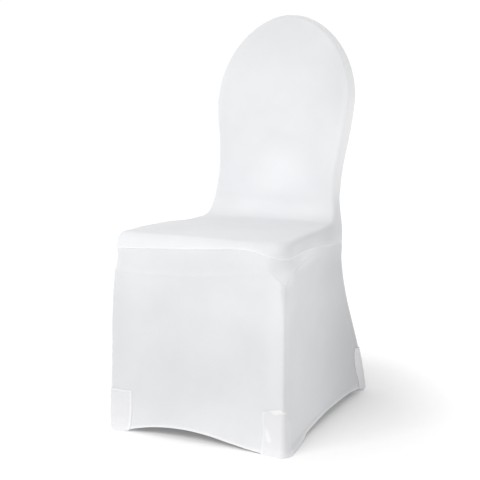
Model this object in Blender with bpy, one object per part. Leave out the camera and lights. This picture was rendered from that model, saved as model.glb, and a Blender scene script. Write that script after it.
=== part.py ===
"""Fitted stretch cover for a round-backed dining chair, modelled as worn, without the chair.

Metres, +Z up, the front of the chair towards -Y. One knit panel runs over the seat and up the face
of the back, one closes the outside of the back down to the floor, one skirt goes round the front
and both sides, and a doubled pocket holds each foot. Every panel is a thin closed sheet, and two
panels meet edge to edge at their seam.
"""
from collections import namedtuple
from math import cos, pi, radians, sin, tan

import bpy
import numpy as np

# Cloth
CLOTH = 0.0018              # thickness of a panel
POCKET_CLOTH = 0.0016       # thickness of a doubled foot pocket
SEAM_GAP = 0.0003           # air between two panels at their seam
POCKET_GAP = 0.0004         # air between a pocket and the panel that it lies on

# Seat and back, as the cloth wraps them
SEAT_FRONT = -0.206         # y of the cushion's front edge
SEAT_TOP = 0.445            # height of the cushion's rim
SEAT_CROWN = 0.006          # rise of the cushion's middle over its rim
CORNER_AT_SEAM = 0.020      # plan radius of the front corners, at the seam
CORNER_ON_TOP = 0.016       # and where the rolled edge ends
ROLL = 0.023                # width of the rolled edge round the seat and back
ROLL_POWER = 2.7            # squareness of the rolled edges, where 2 is an ellipse
HOLLOW = 0.050              # radius of the cloth where the seat turns up into the back
BACK_TILT = radians(12.0)   # lean of the back from upright
BACK_AT_SEAT = 0.179        # y of the back's face, carried down to the height of the seat
BACK_TOP = 0.930            # height of the top of the back's face
BACK_CROWN = 0.005          # bulge of the back's face
DOME_HEIGHT = 0.2094        # height of the round top over the widest place
DOME_POWER = 1.93           # squareness of the round top, where 2 is an ellipse
FACE_TO_SEAM = 0.026        # from the back's face to its seam
SEAM_TO_REAR = 0.010        # from that seam to the rear face
REAR_ROLL = 0.014           # width of the rear panel's rolled edge
REAR_CROWN = 0.003          # bulge of the rear face
MEET = radians(27.4)        # angle round the hollow at which the seat seam meets the back seam
DOME_CORNER = radians(48)   # angle up the dome at which its side ends and its top begins

# Middle of the depth, which becomes y = 0
DEPTH_MIDDLE = 0.0463

# Half width of the seat and back, by the distance along the cloth from the front edge, and how far
# the cloth there lies under the seat's front rim or the back's face
Width = namedtuple("Width", "along half sink")
WIDTHS = [
    Width(0.020, 0.2035, 0.0000),
    Width(0.120, 0.1965, 0.0008),
    Width(0.240, 0.1890, 0.0032),
    Width(0.335, 0.1812, 0.0046),
    Width(0.375, 0.1728, 0.0034),
    Width(0.415, 0.1638, 0.0012),
    Width(0.450, 0.1613, 0.0000),
    Width(0.507, 0.1626, 0.0000),
    Width(0.560, 0.1687, 0.0000),
    Width(0.605, 0.1755, 0.0000),
    Width(0.655, 0.1792, 0.0000),
]

# Height of the seat seam across the front, where the cloth is drawn up towards one side
FrontSeam = namedtuple("FrontSeam", "x height")
FRONT_SEAM = [
    FrontSeam(-0.200, 0.4110),
    FrontSeam(-0.140, 0.4140),
    FrontSeam(-0.040, 0.4200),
    FrontSeam(0.054, 0.4275),
    FrontSeam(0.105, 0.4305),
    FrontSeam(0.140, 0.4275),
    FrontSeam(0.170, 0.4185),
    FrontSeam(0.200, 0.4110),
]

# Height of the seat seam along each side
SideSeam = namedtuple("SideSeam", "y height")
SIDE_SEAM = [
    SideSeam(-0.206, 0.4110),
    SideSeam(-0.160, 0.4130),
    SideSeam(-0.046, 0.4125),
    SideSeam(0.024, 0.4080),
    SideSeam(0.128, 0.3960),
    SideSeam(0.194, 0.3887),
]

# The skirt below the seat seam. A fall of 0 is at the seam, 1 where the cloth leaves the seat rail
# and 2 at the hem. The front corner is sharp at (front_x, front_y) before front_round rounds it.
# The rear corner lies at rear_x, and hollow is how far the middles of the four faces draw in.
Level = namedtuple("Level", "fall front_x front_y front_round rear_x hollow")
LEVELS = [
    Level(0.00, 0.2035, -0.2060, 0.020, 0.1762, 0.000),
    Level(0.50, 0.2045, -0.2072, 0.014, 0.1768, 0.000),
    Level(1.00, 0.2060, -0.2090, 0.008, 0.1778, 0.000),
    Level(1.18, 0.2080, -0.2112, 0.006, 0.1835, 0.005),
    Level(1.50, 0.2097, -0.2150, 0.006, 0.1948, 0.008),
    Level(1.80, 0.2112, -0.2185, 0.007, 0.2030, 0.010),
    Level(2.00, 0.2130, -0.2210, 0.014, 0.2070, 0.011),
]
FADE_POWER = 2.0            # how late the hollow of a face fades towards its corners

# How far below the seam the cloth leaves the seat rail, across the front and along a side
Rail = namedtuple("Rail", "place drop")
FRONT_RAIL = [
    Rail(-1.00, 0.0520),
    Rail(-0.83, 0.0528),
    Rail(-0.55, 0.0565),
    Rail(-0.25, 0.0577),
    Rail(0.24, 0.0568),
    Rail(0.62, 0.0510),
    Rail(0.80, 0.0465),
    Rail(1.00, 0.0520),
]
SIDE_RAIL = [
    Rail(0.00, 0.052),
    Rail(0.08, 0.040),
    Rail(0.16, 0.029),
    Rail(0.38, 0.019),
    Rail(0.65, 0.011),
    Rail(1.00, 0.009),
]

# y of the rear face by height: upright behind the seat, then splayed along the rear legs
RearLeg = namedtuple("RearLeg", "height y")
REAR_LEGS = [
    RearLeg(0.000, 0.3135),
    RearLeg(0.055, 0.2985),
    RearLeg(0.105, 0.2790),
    RearLeg(0.150, 0.2590),
    RearLeg(0.192, 0.2400),
    RearLeg(0.240, 0.2195),
    RearLeg(0.285, 0.2065),
    RearLeg(0.330, 0.2000),
    RearLeg(0.370, 0.2010),
    RearLeg(0.410, 0.2084),
]

# Height of the hem, by the place along each face: -1 to 1 across the front and the rear, and
# 0 at the front corner to 1 at the rear corner along a side
Hem = namedtuple("Hem", "place height")
HEM_LOW = 0.0024            # height of the hem inside a pocket
FRONT_HEM = [
    Hem(-0.86, HEM_LOW),
    Hem(-0.72, 0.0090),
    Hem(-0.55, 0.0160),
    Hem(-0.35, 0.0205),
    Hem(-0.10, 0.0215),
    Hem(0.15, 0.0175),
    Hem(0.40, 0.0100),
    Hem(0.64, 0.0042),
    Hem(0.80, HEM_LOW),
]
SIDE_HEM = [
    Hem(0.06, HEM_LOW),
    Hem(0.14, 0.0028),
    Hem(0.21, 0.0050),
    Hem(0.30, 0.0082),
    Hem(0.41, 0.0122),
    Hem(0.56, 0.0158),
    Hem(0.72, 0.0168),
    Hem(0.88, 0.0145),
    Hem(0.96, 0.0085),
    Hem(1.00, HEM_LOW),
]
REAR_HEM = [
    Hem(-1.00, HEM_LOW),
    Hem(-0.74, 0.0040),
    Hem(-0.40, 0.0165),
    Hem(0.00, 0.0215),
    Hem(0.40, 0.0165),
    Hem(0.74, 0.0040),
    Hem(1.00, HEM_LOW),
]

# Foot pockets
POCKET_TOP_FALL = 1.73      # how far down the fall their top edges lie, about 0.1 m off the floor
INNER_WALL_ROWS = 2         # rows of the skirt that the wall behind the foot is tall
INNER_WALL_GAP = 0.0014     # air between that wall and the panels at its two ends
INNER_WALL_POWER = 4.5      # squareness of that wall's corner


# Where the columns of points stand. The front's places run from its middle to its corner, a side's
# from its front corner to the rear one. A foot pocket ends at a place of its own on each.
FRONT_PLACES = (0.0, 0.22, 0.43, 0.61, 0.77, 0.89)
FRONT_POCKET_PLACE = 4
SIDE_PLACES = (0.0, 0.027, 0.055, 0.15, 0.26, 0.37, 0.49, 0.61, 0.72, 0.82, 0.912)
SIDE_POCKET_PLACE = 2
REAR_POCKET_PLACE = 10
REAR_POCKET_COLUMNS = 2     # columns of the rear face under a rear pocket
BEND_STEPS = 4              # round a front corner
TURN_STEPS = 3              # from the meeting of the seams to the end of the hollow
BACK_STEPS = 7
DOME_STEPS = 6              # up the side of the dome
ROLL_STEPS = 5
REAR_ROLL_STEPS = 3
RAIL_STEPS = 3
FALL_STEPS = 5              # from the rail to the top edge of the pockets
POCKET_STEPS = 3
TOP_STEPS = len(FRONT_PLACES) + BEND_STEPS // 2

# Indices on the loop round the seat and back, counted from the middle of the front
BEND_START = len(FRONT_PLACES)
FRONT_CORNER = BEND_START + BEND_STEPS // 2
SIDE_START = BEND_START + BEND_STEPS
SEAMS_MEET = SIDE_START + len(SIDE_PLACES)
TOP_CORNER = SEAMS_MEET + TURN_STEPS + BACK_STEPS + DOME_STEPS
LOOP = 2 * (TOP_CORNER + TOP_STEPS)


def smooth(table, name, at):
    """A smooth curve through one column of a table, by its first column, held past both ends."""
    stations = np.array([row[0] for row in table], float)
    values = np.array([getattr(row, name) for row in table], float)
    slopes = np.gradient(values, stations)
    at = np.clip(np.asarray(at, float), stations[0], stations[-1])
    low = np.clip(np.searchsorted(stations, at) - 1, 0, len(stations) - 2)
    span = stations[low + 1] - stations[low]
    t = (at - stations[low]) / span
    leaving = values[low] * (1 + 2 * t) + slopes[low] * span * t
    arriving = values[low + 1] * (3 - 2 * t) - slopes[low + 1] * span * (1 - t)
    return leaving * (1 - t) ** 2 + arriving * t ** 2


def between(low, high, t):
    return low + (high - low) * t


# The middle line: along the seat, round the hollow and up the face of the back

TURN = pi / 2 - BACK_TILT
TURN_REACH = HOLLOW * tan(TURN / 2)
SEAT_LENGTH = BACK_AT_SEAT - TURN_REACH - SEAT_FRONT
TURN_END = SEAT_LENGTH + HOLLOW * TURN
WHOLE_LENGTH = TURN_END + (BACK_TOP - SEAT_TOP) / cos(BACK_TILT) - TURN_REACH
DOME_START = WHOLE_LENGTH - DOME_HEIGHT
CENTRE_Y = SEAT_FRONT + SEAT_LENGTH
CENTRE_Z = SEAT_TOP + HOLLOW
MEETING = SEAT_LENGTH + HOLLOW * MEET
MEETING_DEPTH = (HOLLOW + FACE_TO_SEAM) * cos(MEET) / cos(TURN - MEET)
MEETING_Y = CENTRE_Y + MEETING_DEPTH * tan(MEET)
MEETING_Z = CENTRE_Z - MEETING_DEPTH
REAR_AT_SEAT = BACK_AT_SEAT + (FACE_TO_SEAM + SEAM_TO_REAR) / cos(BACK_TILT)
BEHIND = np.array([0.0, cos(BACK_TILT), -sin(BACK_TILT)])


def turn_angle(along):
    return np.clip((along - SEAT_LENGTH) / HOLLOW, 0, TURN)


def lift(flat, above):
    """Sets points given as (x, along) in space, at a height over the cloth's middle line."""
    x, along = flat[:, 0], flat[:, 1]
    angle = turn_angle(along)
    radius = HOLLOW - above
    rise = np.maximum(along - TURN_END, 0)
    y = CENTRE_Y + np.minimum(along - SEAT_LENGTH, 0) + radius * np.sin(angle) + rise * sin(BACK_TILT)
    z = CENTRE_Z - radius * np.cos(angle) + rise * cos(BACK_TILT)
    return np.stack([x, y, z], axis=1)


def upward(flat):
    """The direction away from the chair, over the middle line."""
    angle = turn_angle(flat[:, 1])
    return np.stack([0 * angle, -np.sin(angle), np.cos(angle)], axis=1)


def crown(flat):
    """Height of the seat and back over the middle line, greatest between their rolled edges."""
    along = flat[:, 1]
    past = np.clip((along - DOME_START) / DOME_HEIGHT, 0, 0.99)
    half = smooth(WIDTHS, "half", along) * np.sqrt(1 - past ** 2)
    across = np.clip(1 - (flat[:, 0] / half) ** 2, 0, 1)
    seat = np.clip(along / SEAT_LENGTH, 0, 1)
    back = np.clip((along - TURN_END) / (WHOLE_LENGTH - TURN_END), 0, 1)
    bulge = 4 * (SEAT_CROWN * seat * (1 - seat) + BACK_CROWN * back * (1 - back))
    return across * bulge - smooth(WIDTHS, "sink", along)


def along_side(side_start):
    """Distances along the cloth of a side's columns, spread evenly along the seam itself."""
    places = np.array(SIDE_PLACES)
    y = between(SEAT_FRONT + CORNER_AT_SEAM, MEETING_Y, places)
    past = np.arctan(np.maximum(y - CENTRE_Y, 0) / MEETING_DEPTH)
    along = np.minimum(y - SEAT_FRONT, SEAT_LENGTH) + HOLLOW * past
    return along + (side_start - CORNER_AT_SEAM) * (1 - places) ** 2


def outline(inset, corner):
    """Right half of the seat and back in (x, along), from the front's middle to the top."""
    side_start = inset + corner
    corner_x = float(smooth(WIDTHS, "half", side_start)) - side_start
    front = [(corner_x * place, inset) for place in FRONT_PLACES]
    angles = np.linspace(0, pi / 2, BEND_STEPS, endpoint=False)
    bend = [(corner_x + corner * sin(a), side_start - corner * cos(a)) for a in angles]
    turn = np.linspace(MEETING, TURN_END, TURN_STEPS, endpoint=False)
    back = np.linspace(TURN_END, DOME_START, BACK_STEPS, endpoint=False)
    along = np.concatenate([along_side(side_start), turn, back])
    side = np.stack([smooth(WIDTHS, "half", along) - inset, along], axis=1)
    low = np.linspace(0, DOME_CORNER, DOME_STEPS, endpoint=False)
    high = np.linspace(DOME_CORNER, pi / 2, TOP_STEPS + 1)
    angles = np.concatenate([low, high])
    across = (WIDTHS[-1].half - inset) * np.abs(np.cos(angles)) ** (2 / DOME_POWER)
    across[-1] = 0
    up = DOME_START + (DOME_HEIGHT - inset) * np.sin(angles) ** (2 / DOME_POWER)
    return np.concatenate([front, bend, side, np.stack([across, up], axis=1)])


def mirrored(points):
    return points * np.where(np.arange(points.shape[-1]) == 0, -1.0, 1.0)


def both_sides(half):
    """A loop from half of it: up the side that is given and down its mirror image."""
    return np.concatenate([half, mirrored(half[-2:0:-1])])


def part_of(loop, start, stop):
    """Part of a loop from one index up to another, both included, past its end if need be."""
    return np.take(loop, range(start, stop + 1), axis=0, mode="wrap")


def seam_loop():
    """The seam round the seat and back, from the front's middle: up the right, down the left."""
    flat = both_sides(outline(0, CORNER_AT_SEAM))
    along = flat[:, 1]
    angle = turn_angle(along)
    y = SEAT_FRONT + np.minimum(along, SEAT_LENGTH) + MEETING_DEPTH * np.tan(np.minimum(angle, MEET))
    settle = np.clip((y - CENTRE_Y) / (MEETING_Y - CENTRE_Y), 0, 1)
    side = smooth(SIDE_SEAM, "height", y) + (MEETING_Z - SIDE_SEAM[-1].height) * settle
    front = smooth(FRONT_SEAM, "height", flat[:, 0])
    height = np.where(along < CORNER_AT_SEAM - 1e-6, front, side)
    under_seat = (CENTRE_Z - height) / np.cos(angle) - HOLLOW
    behind_back = (HOLLOW + FACE_TO_SEAM) / np.cos(TURN - angle) - HOLLOW
    return lift(flat, -np.where(along < MEETING - 1e-6, under_seat, behind_back))


def rolled(outer, inner, outward, steps, power):
    """Rings that round an edge, from outer points to inner ones that stand further outward."""
    step = inner - outer
    height = outward * np.sum(step * outward, axis=-1, keepdims=True)
    rings = [outer]
    for k in range(1, steps):
        angle = pi / 2 * k / steps
        sideways = 1 - cos(angle) ** (2 / power)
        rings.append(outer + (step - height) * sideways + height * sin(angle) ** (2 / power))
    return rings + [inner]


def fill(bottom, right, top, left):
    """Rows of points between four sides: two run from the left, two upward, and ends are shared."""
    across = np.linspace(0, 1, len(bottom))[None, :, None]
    up = np.linspace(0, 1, len(left))[:, None, None]
    sides = between(left[:, None], right[:, None], across)
    ends = between(bottom[None], top[None], up)
    corners = between(between(bottom[0], bottom[-1], across), between(top[0], top[-1], across), up)
    return sides + ends - corners


# The skirt and the rear panel

def level(name, fall):
    return float(smooth(LEVELS, name, fall))


def height_at(fall, seam, drop, hem):
    """Height on a column of cloth that drops from the seam, over the rail, to the hem."""
    if fall <= 1:
        return seam - drop * fall
    return between(seam - drop, hem, fall - 1)


def drawn_in(place):
    """Share of a face's hollow at a place on it from -1 to 1."""
    return 1 - np.abs(place) ** FADE_POWER


def rear_y(x, z, hollow=0.0, half=WIDTHS[-1].half):
    """The rear face: the outside of the back above, a hollow sheet between the legs below."""
    up = np.clip((z - SEAT_TOP) / (BACK_TOP - SEAT_TOP), 0, 1)
    place = np.clip(np.abs(x) / half, 0, 1)
    back = REAR_AT_SEAT + (z - SEAT_TOP) * tan(BACK_TILT)
    back = back + REAR_CROWN * 4 * up * (1 - up) * (1 - place ** 2)
    legs = smooth(REAR_LEGS, "y", z) - hollow * drawn_in(place)
    return np.where(z > REAR_LEGS[-1].height, back, legs)


def rear_corner(fall):
    """The seam between the skirt and the rear panel, on the right."""
    drop = SIDE_RAIL[-1].drop
    z = height_at(fall, MEETING_Z, drop, HEM_LOW)
    return np.array([level("rear_x", fall), float(smooth(REAR_LEGS, "y", z)) - SEAM_TO_REAR, z])


def skirt_point(index, seam, fall):
    """A point of the skirt: a column of its right half, the seam over it, and how far down."""
    corner_x, corner_y = level("front_x", fall), level("front_y", fall)
    bend, hollow = level("front_round", fall), level("hollow", fall)
    drop, hem = SIDE_RAIL[0].drop, HEM_LOW
    if index < BEND_START:
        place = FRONT_PLACES[index]
        x = place * (corner_x - bend)
        y = corner_y + hollow * drawn_in(place)
        across = place if seam[0] > 0 else -place
        drop = float(smooth(FRONT_RAIL, "drop", across))
        hem = float(smooth(FRONT_HEM, "height", across))
    elif index < SIDE_START:
        angle = pi / 2 * (index - BEND_START) / BEND_STEPS
        x = corner_x - bend * (1 - sin(angle))
        y = corner_y + bend * (1 - cos(angle))
    elif index < SEAMS_MEET:
        place = SIDE_PLACES[index - SIDE_START]
        rear = rear_corner(fall)
        x = between(corner_x, rear[0], place) - hollow * drawn_in(2 * place - 1)
        y = between(corner_y + bend, rear[1], place)
        drop = float(smooth(SIDE_RAIL, "drop", place))
        hem = float(smooth(SIDE_HEM, "height", place))
    else:
        return rear_corner(fall)
    return np.array([x, y, height_at(fall, seam[2], drop, hem)])


FALLS = np.concatenate([
    np.linspace(0, 1, RAIL_STEPS, endpoint=False),
    np.linspace(1, POCKET_TOP_FALL, FALL_STEPS, endpoint=False),
    np.linspace(POCKET_TOP_FALL, 2, POCKET_STEPS + 1),
])


def skirt_rows(seam):
    """Rows of the skirt from the seam down, each from the left rear corner round to the right."""
    rows = [part_of(seam, -SEAMS_MEET, SEAMS_MEET)]
    tops = []
    for index, top in zip(range(-SEAMS_MEET, SEAMS_MEET + 1), rows[0]):
        side = np.array([-1.0 if index < 0 else 1.0, 1, 1])
        tops.append((abs(index), side, top))
    at_seam = [side * skirt_point(index, top, 0) for index, side, top in tops]
    for fall in FALLS[1:]:
        row = []
        for (index, side, top), start in zip(tops, at_seam):
            carried = (top - start) * max(0, 1 - fall) ** 2
            row.append(side * skirt_point(index, top, fall) + carried)
        rows.append(np.array(row))
    return rows


def rear_edges(seam):
    """Where the rear panel's rolled edge ends on the rear face, from seam meeting to meeting."""
    flat = both_sides(outline(REAR_ROLL, CORNER_AT_SEAM))
    face = lift(flat, -(FACE_TO_SEAM + SEAM_TO_REAR) * np.ones(len(flat)))
    low = flat[:, 1] < TURN_END - 1e-6
    face[low, 0] = seam[low, 0] - np.sign(seam[low, 0]) * REAR_ROLL
    face[low, 2] = seam[low, 2] - SEAM_TO_REAR * sin(BACK_TILT)
    face[:, 1] = rear_y(face[:, 0], face[:, 2])
    return face


def rear_low_rows(edges, skirt):
    """Rows of the rear panel below the seat, from its left corner to its right corner."""
    across = np.linspace(-1, 1, 2 * TOP_STEPS + 1)
    rows = []
    for fall, skirt_row in zip(FALLS, skirt):
        right = skirt_row[-1]
        half = right[0]
        inner_x = edges[SEAMS_MEET][0] if fall == 0 else half - REAR_ROLL
        x = across * inner_x
        hem = smooth(REAR_HEM, "height", across)
        top = edges[SEAMS_MEET][2]
        z = np.array([height_at(fall, top, SIDE_RAIL[-1].drop, h) for h in hem])
        y = rear_y(x, z, level("hollow", fall), half)
        face = np.stack([x, y, z], axis=1)
        outward = BEHIND if fall == 0 else np.array([0.0, 1.0, 0.0])
        roll = rolled(right, face[-1], outward, REAR_ROLL_STEPS, ROLL_POWER)
        left = [mirrored(point) for point in roll[:-1]]
        rows.append(np.array(left + list(face) + roll[-2::-1]))
    return rows


# The cloth as one surface, cut apart into panels

class Surface:
    """Shared points and the faces of each panel, seen from outside the chair."""

    def __init__(self):
        self.points = []
        self.numbers = {}
        self.panels = {}

    def number(self, point):
        key = tuple(int(round(value * 1e5)) for value in point)
        if key not in self.numbers:
            self.numbers[key] = len(self.points)
            self.points.append(np.array(point, float))
        return self.numbers[key]

    def strip(self, panel, lower, upper, closed=False, turned=False):
        """Triangles between two rows of points that both run from left to right."""
        low = [self.number(point) for point in lower]
        high = [self.number(point) for point in upper]
        for k in range(len(low) if closed else len(low) - 1):
            n = (k + 1) % len(low)
            for face in ((low[k], low[n], high[n]), (low[k], high[n], high[k])):
                if len(set(face)) == 3:
                    face = face[::-1] if turned else face
                    self.panels.setdefault(panel, []).append(face)

    def grid(self, panel, rows, turned=False):
        """Triangles between rows that are listed upward."""
        for lower, upper in zip(rows[:-1], rows[1:]):
            self.strip(panel, lower, upper, turned=turned)

    def normals(self):
        """Outward directions of the points, a little longer where the cloth turns sharply."""
        points = np.array(self.points)
        faces = np.array([face for panel in self.panels.values() for face in panel])
        a, b, c = (points[faces[:, k]] for k in range(3))
        flat = np.cross(b - a, c - a)
        flat /= np.linalg.norm(flat, axis=1, keepdims=True)
        total = np.zeros_like(points)
        for k in range(3):
            to_next = points[faces[:, (k + 1) % 3]] - points[faces[:, k]]
            to_last = points[faces[:, (k + 2) % 3]] - points[faces[:, k]]
            lengths = np.linalg.norm(to_next, axis=1) * np.linalg.norm(to_last, axis=1)
            angle = np.arccos(np.clip(np.sum(to_next * to_last, axis=1) / lengths, -1, 1))
            np.add.at(total, faces[:, k], flat * angle[:, None])
        total /= np.linalg.norm(total, axis=1, keepdims=True)
        most = np.ones(len(points))
        for k in range(3):
            np.minimum.at(most, faces[:, k], np.sum(total[faces[:, k]] * flat, axis=1))
        return total / np.clip(most, 0.75, 1)[:, None]


def rim_edges(faces):
    """Edges that only one face has, in that face's direction."""
    edges = [(face[k], face[(k + 1) % len(face)]) for face in faces for k in range(len(face))]
    known = set(edges)
    return [edge for edge in edges if (edge[1], edge[0]) not in known]


def away_from_rim(points, normals, faces):
    """For each point on the rim of some faces, the direction along the cloth towards its middle."""
    inward = np.zeros_like(points)
    for start, stop in rim_edges(faces):
        across = np.cross(normals[start], points[stop] - points[start])
        across /= np.linalg.norm(across)
        inward[start] += across
        inward[stop] += across
    lengths = np.linalg.norm(inward, axis=1, keepdims=True)
    return np.where(lengths > 1e-9, inward / np.maximum(lengths, 1e-9), 0)


def sheet(name, outer, inner, faces, colour):
    """A closed sheet of cloth between two skins that share their faces."""
    used = sorted({corner for face in faces for corner in face})
    place = {corner: k for k, corner in enumerate(used)}
    count = len(used)
    shift = np.array([0, -DEPTH_MIDDLE, 0])
    points = [outer[k] + shift for k in used] + [inner[k] + shift for k in used]
    skin = [[place[corner] for corner in face] for face in faces]
    lining = [[corner + count for corner in face[::-1]] for face in skin]
    rim = []
    for start, stop in rim_edges(skin):
        rim.append([stop, start, start + count])
        rim.append([stop, start + count, stop + count])
    mesh = bpy.data.meshes.new(name)
    mesh.from_pydata([tuple(point) for point in points], [], skin + lining + rim)
    mesh.shade_smooth()
    mesh.set_sharp_from_angle(angle=radians(40))
    mesh.materials.append(knit(name, colour))
    piece = bpy.data.objects.new(name, mesh)
    bpy.context.scene.collection.objects.link(piece)


def knit(name, colour):
    """White stretch knit, one material for each piece."""
    material = bpy.data.materials.new("knit_" + name)
    material.use_nodes = True
    shader = material.node_tree.nodes["Principled BSDF"]
    shader.inputs["Base Color"].default_value = colour
    shader.inputs["Roughness"].default_value = 0.62
    shader.inputs["Metallic"].default_value = 0.0
    return material


PANEL_WHITE = (0.83, 0.84, 0.86, 1.0)
POCKET_WHITE = (0.88, 0.89, 0.90, 1.0)


def inner_wall(points, normals, row):
    """A row of the wall behind a foot, from one end of a pocket's row to the other, and its away."""
    clear = CLOTH + INNER_WALL_GAP
    first = points[row[0]] - normals[row[0]] * clear
    last = points[row[-1]] - normals[row[-1]] * clear
    into = -normals[row[0]] * np.array([1, 1, 0])
    into /= np.linalg.norm(into)
    wall = np.array(rolled(first, last, into, len(row) - 1, INNER_WALL_POWER))
    run = np.gradient(wall, axis=0)
    away = np.stack([run[:, 1], -run[:, 0], 0 * run[:, 0]], axis=1)
    away /= np.linalg.norm(away, axis=1, keepdims=True)
    return wall, away * np.sign(np.sum(away * (wall - points[row])))


def pocket(name, points, normals, rows):
    """A foot pocket laid over rows of the cloth's points, listed upward from the hem."""
    outer, inner = [], []
    for row in rows:
        outer.append(points[row] + normals[row] * (POCKET_GAP + POCKET_CLOTH))
        inner.append(points[row] + normals[row] * POCKET_GAP)
    for row in rows[:INNER_WALL_ROWS + 1]:
        wall, away = inner_wall(points, normals, row)
        outer.insert(0, wall + away * POCKET_CLOTH)
        inner.insert(0, wall)
    under = points[rows[0], 2] - HEM_LOW
    for bottom in (INNER_WALL_ROWS, INNER_WALL_ROWS + 1):
        outer[bottom][:, 2] = under
        inner[bottom][:, 2] = under + POCKET_CLOTH
    columns = len(under)
    faces = []
    for low in range(len(outer) - 1):
        for k in range(columns - 1):
            a, b = low * columns + k, low * columns + k + 1
            c, d = b + columns, a + columns
            faces += [(a, b, c), (a, c, d)]
    sheet(name, np.concatenate(outer), np.concatenate(inner), faces, POCKET_WHITE)


def add_inside_back_and_seat(surface, seam):
    flat = both_sides(outline(ROLL, CORNER_ON_TOP))
    top = lift(flat, crown(flat))
    rings = rolled(seam, top, upward(flat), ROLL_STEPS, ROLL_POWER)
    for outer, inner in zip(rings[:-1], rings[1:]):
        surface.strip("inside_back_and_seat", outer, inner, closed=True)
    front = part_of(flat, -FRONT_CORNER, FRONT_CORNER)
    right = part_of(flat, FRONT_CORNER, TOP_CORNER)
    dome = part_of(flat, TOP_CORNER, LOOP - TOP_CORNER)[::-1]
    rows = fill(front, right, dome, mirrored(right))
    surface.grid("inside_back_and_seat", [lift(row, crown(row)) for row in rows])


def add_outside_back(surface, seam, skirt):
    """The rear panel; returns its rows below the seat, from the top down."""
    edges = rear_edges(seam)
    over_top = slice(SEAMS_MEET, LOOP - SEAMS_MEET + 1)
    rings = rolled(seam[over_top], edges[over_top], BEHIND, REAR_ROLL_STEPS, ROLL_POWER)
    for outer, inner in zip(rings[:-1], rings[1:]):
        surface.strip("outside_back", outer, inner, turned=True)
    low = rear_low_rows(edges, skirt)
    surface.grid("outside_back", low[::-1], turned=True)
    bottom = low[0][REAR_ROLL_STEPS:-REAR_ROLL_STEPS, [0, 2]]
    plane = edges[:, [0, 2]]
    right = part_of(plane, SEAMS_MEET, TOP_CORNER)
    dome = part_of(plane, TOP_CORNER, LOOP - TOP_CORNER)[::-1]
    rows = []
    for row in fill(bottom, right, dome, mirrored(right)):
        x, z = row[:, 0], row[:, 1]
        rows.append(np.stack([x, rear_y(x, z), z], axis=1))
    surface.grid("outside_back", rows, turned=True)
    return low


def pocket_rows(surface, skirt, rear):
    """Numbers of the points under each pocket, in rows upward from the hem."""
    front = slice(SEAMS_MEET + FRONT_POCKET_PLACE, SEAMS_MEET + SIDE_START + SIDE_POCKET_PLACE + 1)
    side = SEAMS_MEET + SIDE_START + REAR_POCKET_PLACE
    behind = REAR_ROLL_STEPS + REAR_POCKET_COLUMNS
    rows = {"front_left": [], "front_right": [], "rear_left": [], "rear_right": []}
    for skirt_row, rear_row in list(zip(skirt, rear))[:-POCKET_STEPS - 2:-1]:
        round_skirt = [surface.number(point) for point in skirt_row]
        round_rear = [surface.number(point) for point in rear_row]
        rows["front_right"].append(round_skirt[front])
        rows["front_left"].append(round_skirt[::-1][front][::-1])
        rows["rear_right"].append(round_skirt[side:] + round_rear[::-1][1:behind + 1])
        rows["rear_left"].append(round_rear[behind:0:-1] + round_skirt[::-1][side:][::-1])
    return rows


def build():
    for old in list(bpy.data.objects):
        bpy.data.objects.remove(old, do_unlink=True)
    surface = Surface()
    seam = seam_loop()
    skirt = skirt_rows(seam)
    add_inside_back_and_seat(surface, seam)
    surface.grid("skirt", skirt[::-1])
    rear = add_outside_back(surface, seam, skirt)
    points, normals = np.array(surface.points), surface.normals()
    for name, faces in surface.panels.items():
        outer = points + away_from_rim(points, normals, faces) * SEAM_GAP / 2
        sheet(name, outer, outer - normals * CLOTH, faces, PANEL_WHITE)
    for place, rows in pocket_rows(surface, skirt, rear).items():
        pocket("foot_pocket_" + place, points, normals, rows)


build()
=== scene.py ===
from math import cos, pi, radians, sin, tan

import bpy
import numpy as np
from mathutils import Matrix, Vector
from mathutils.kdtree import KDTree


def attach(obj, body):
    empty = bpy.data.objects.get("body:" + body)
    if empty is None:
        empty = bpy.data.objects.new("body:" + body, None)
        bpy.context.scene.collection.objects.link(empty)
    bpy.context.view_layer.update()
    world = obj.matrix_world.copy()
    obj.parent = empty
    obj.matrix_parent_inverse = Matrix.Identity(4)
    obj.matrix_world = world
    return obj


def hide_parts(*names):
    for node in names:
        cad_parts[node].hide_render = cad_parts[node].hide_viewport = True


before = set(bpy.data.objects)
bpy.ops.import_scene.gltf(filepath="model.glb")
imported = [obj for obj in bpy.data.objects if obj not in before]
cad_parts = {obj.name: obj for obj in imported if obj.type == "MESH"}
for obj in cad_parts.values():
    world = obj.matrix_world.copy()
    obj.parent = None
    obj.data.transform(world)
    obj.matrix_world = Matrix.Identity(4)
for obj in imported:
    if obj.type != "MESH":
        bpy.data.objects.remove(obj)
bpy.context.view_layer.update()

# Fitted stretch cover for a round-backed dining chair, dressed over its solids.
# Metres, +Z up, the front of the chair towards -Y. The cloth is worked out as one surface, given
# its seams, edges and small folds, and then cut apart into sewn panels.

TINY = 1e-6                 # a distance that counts as none
POINT_GRID = 1e5            # points count as one where they agree on a grid this fine, per metre

# --- Sizes ----------------------------------------------------------------------------------

# Cloth
CLOTH = 0.0018              # thickness of a panel
POCKET_CLOTH = 0.0013       # thickness of a doubled foot pocket
SEAM_GAP = 0.00006          # air between two panels at their seam
POCKET_GAP = 0.0002         # air between a pocket and the panel that it lies on
FOLD_ANGLE = radians(50)    # the cloth looks folded where it turns by more, and smooth elsewhere
SHARPEST = 0.8              # cosine of the sharpest turn that its thickness is kept up round

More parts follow.
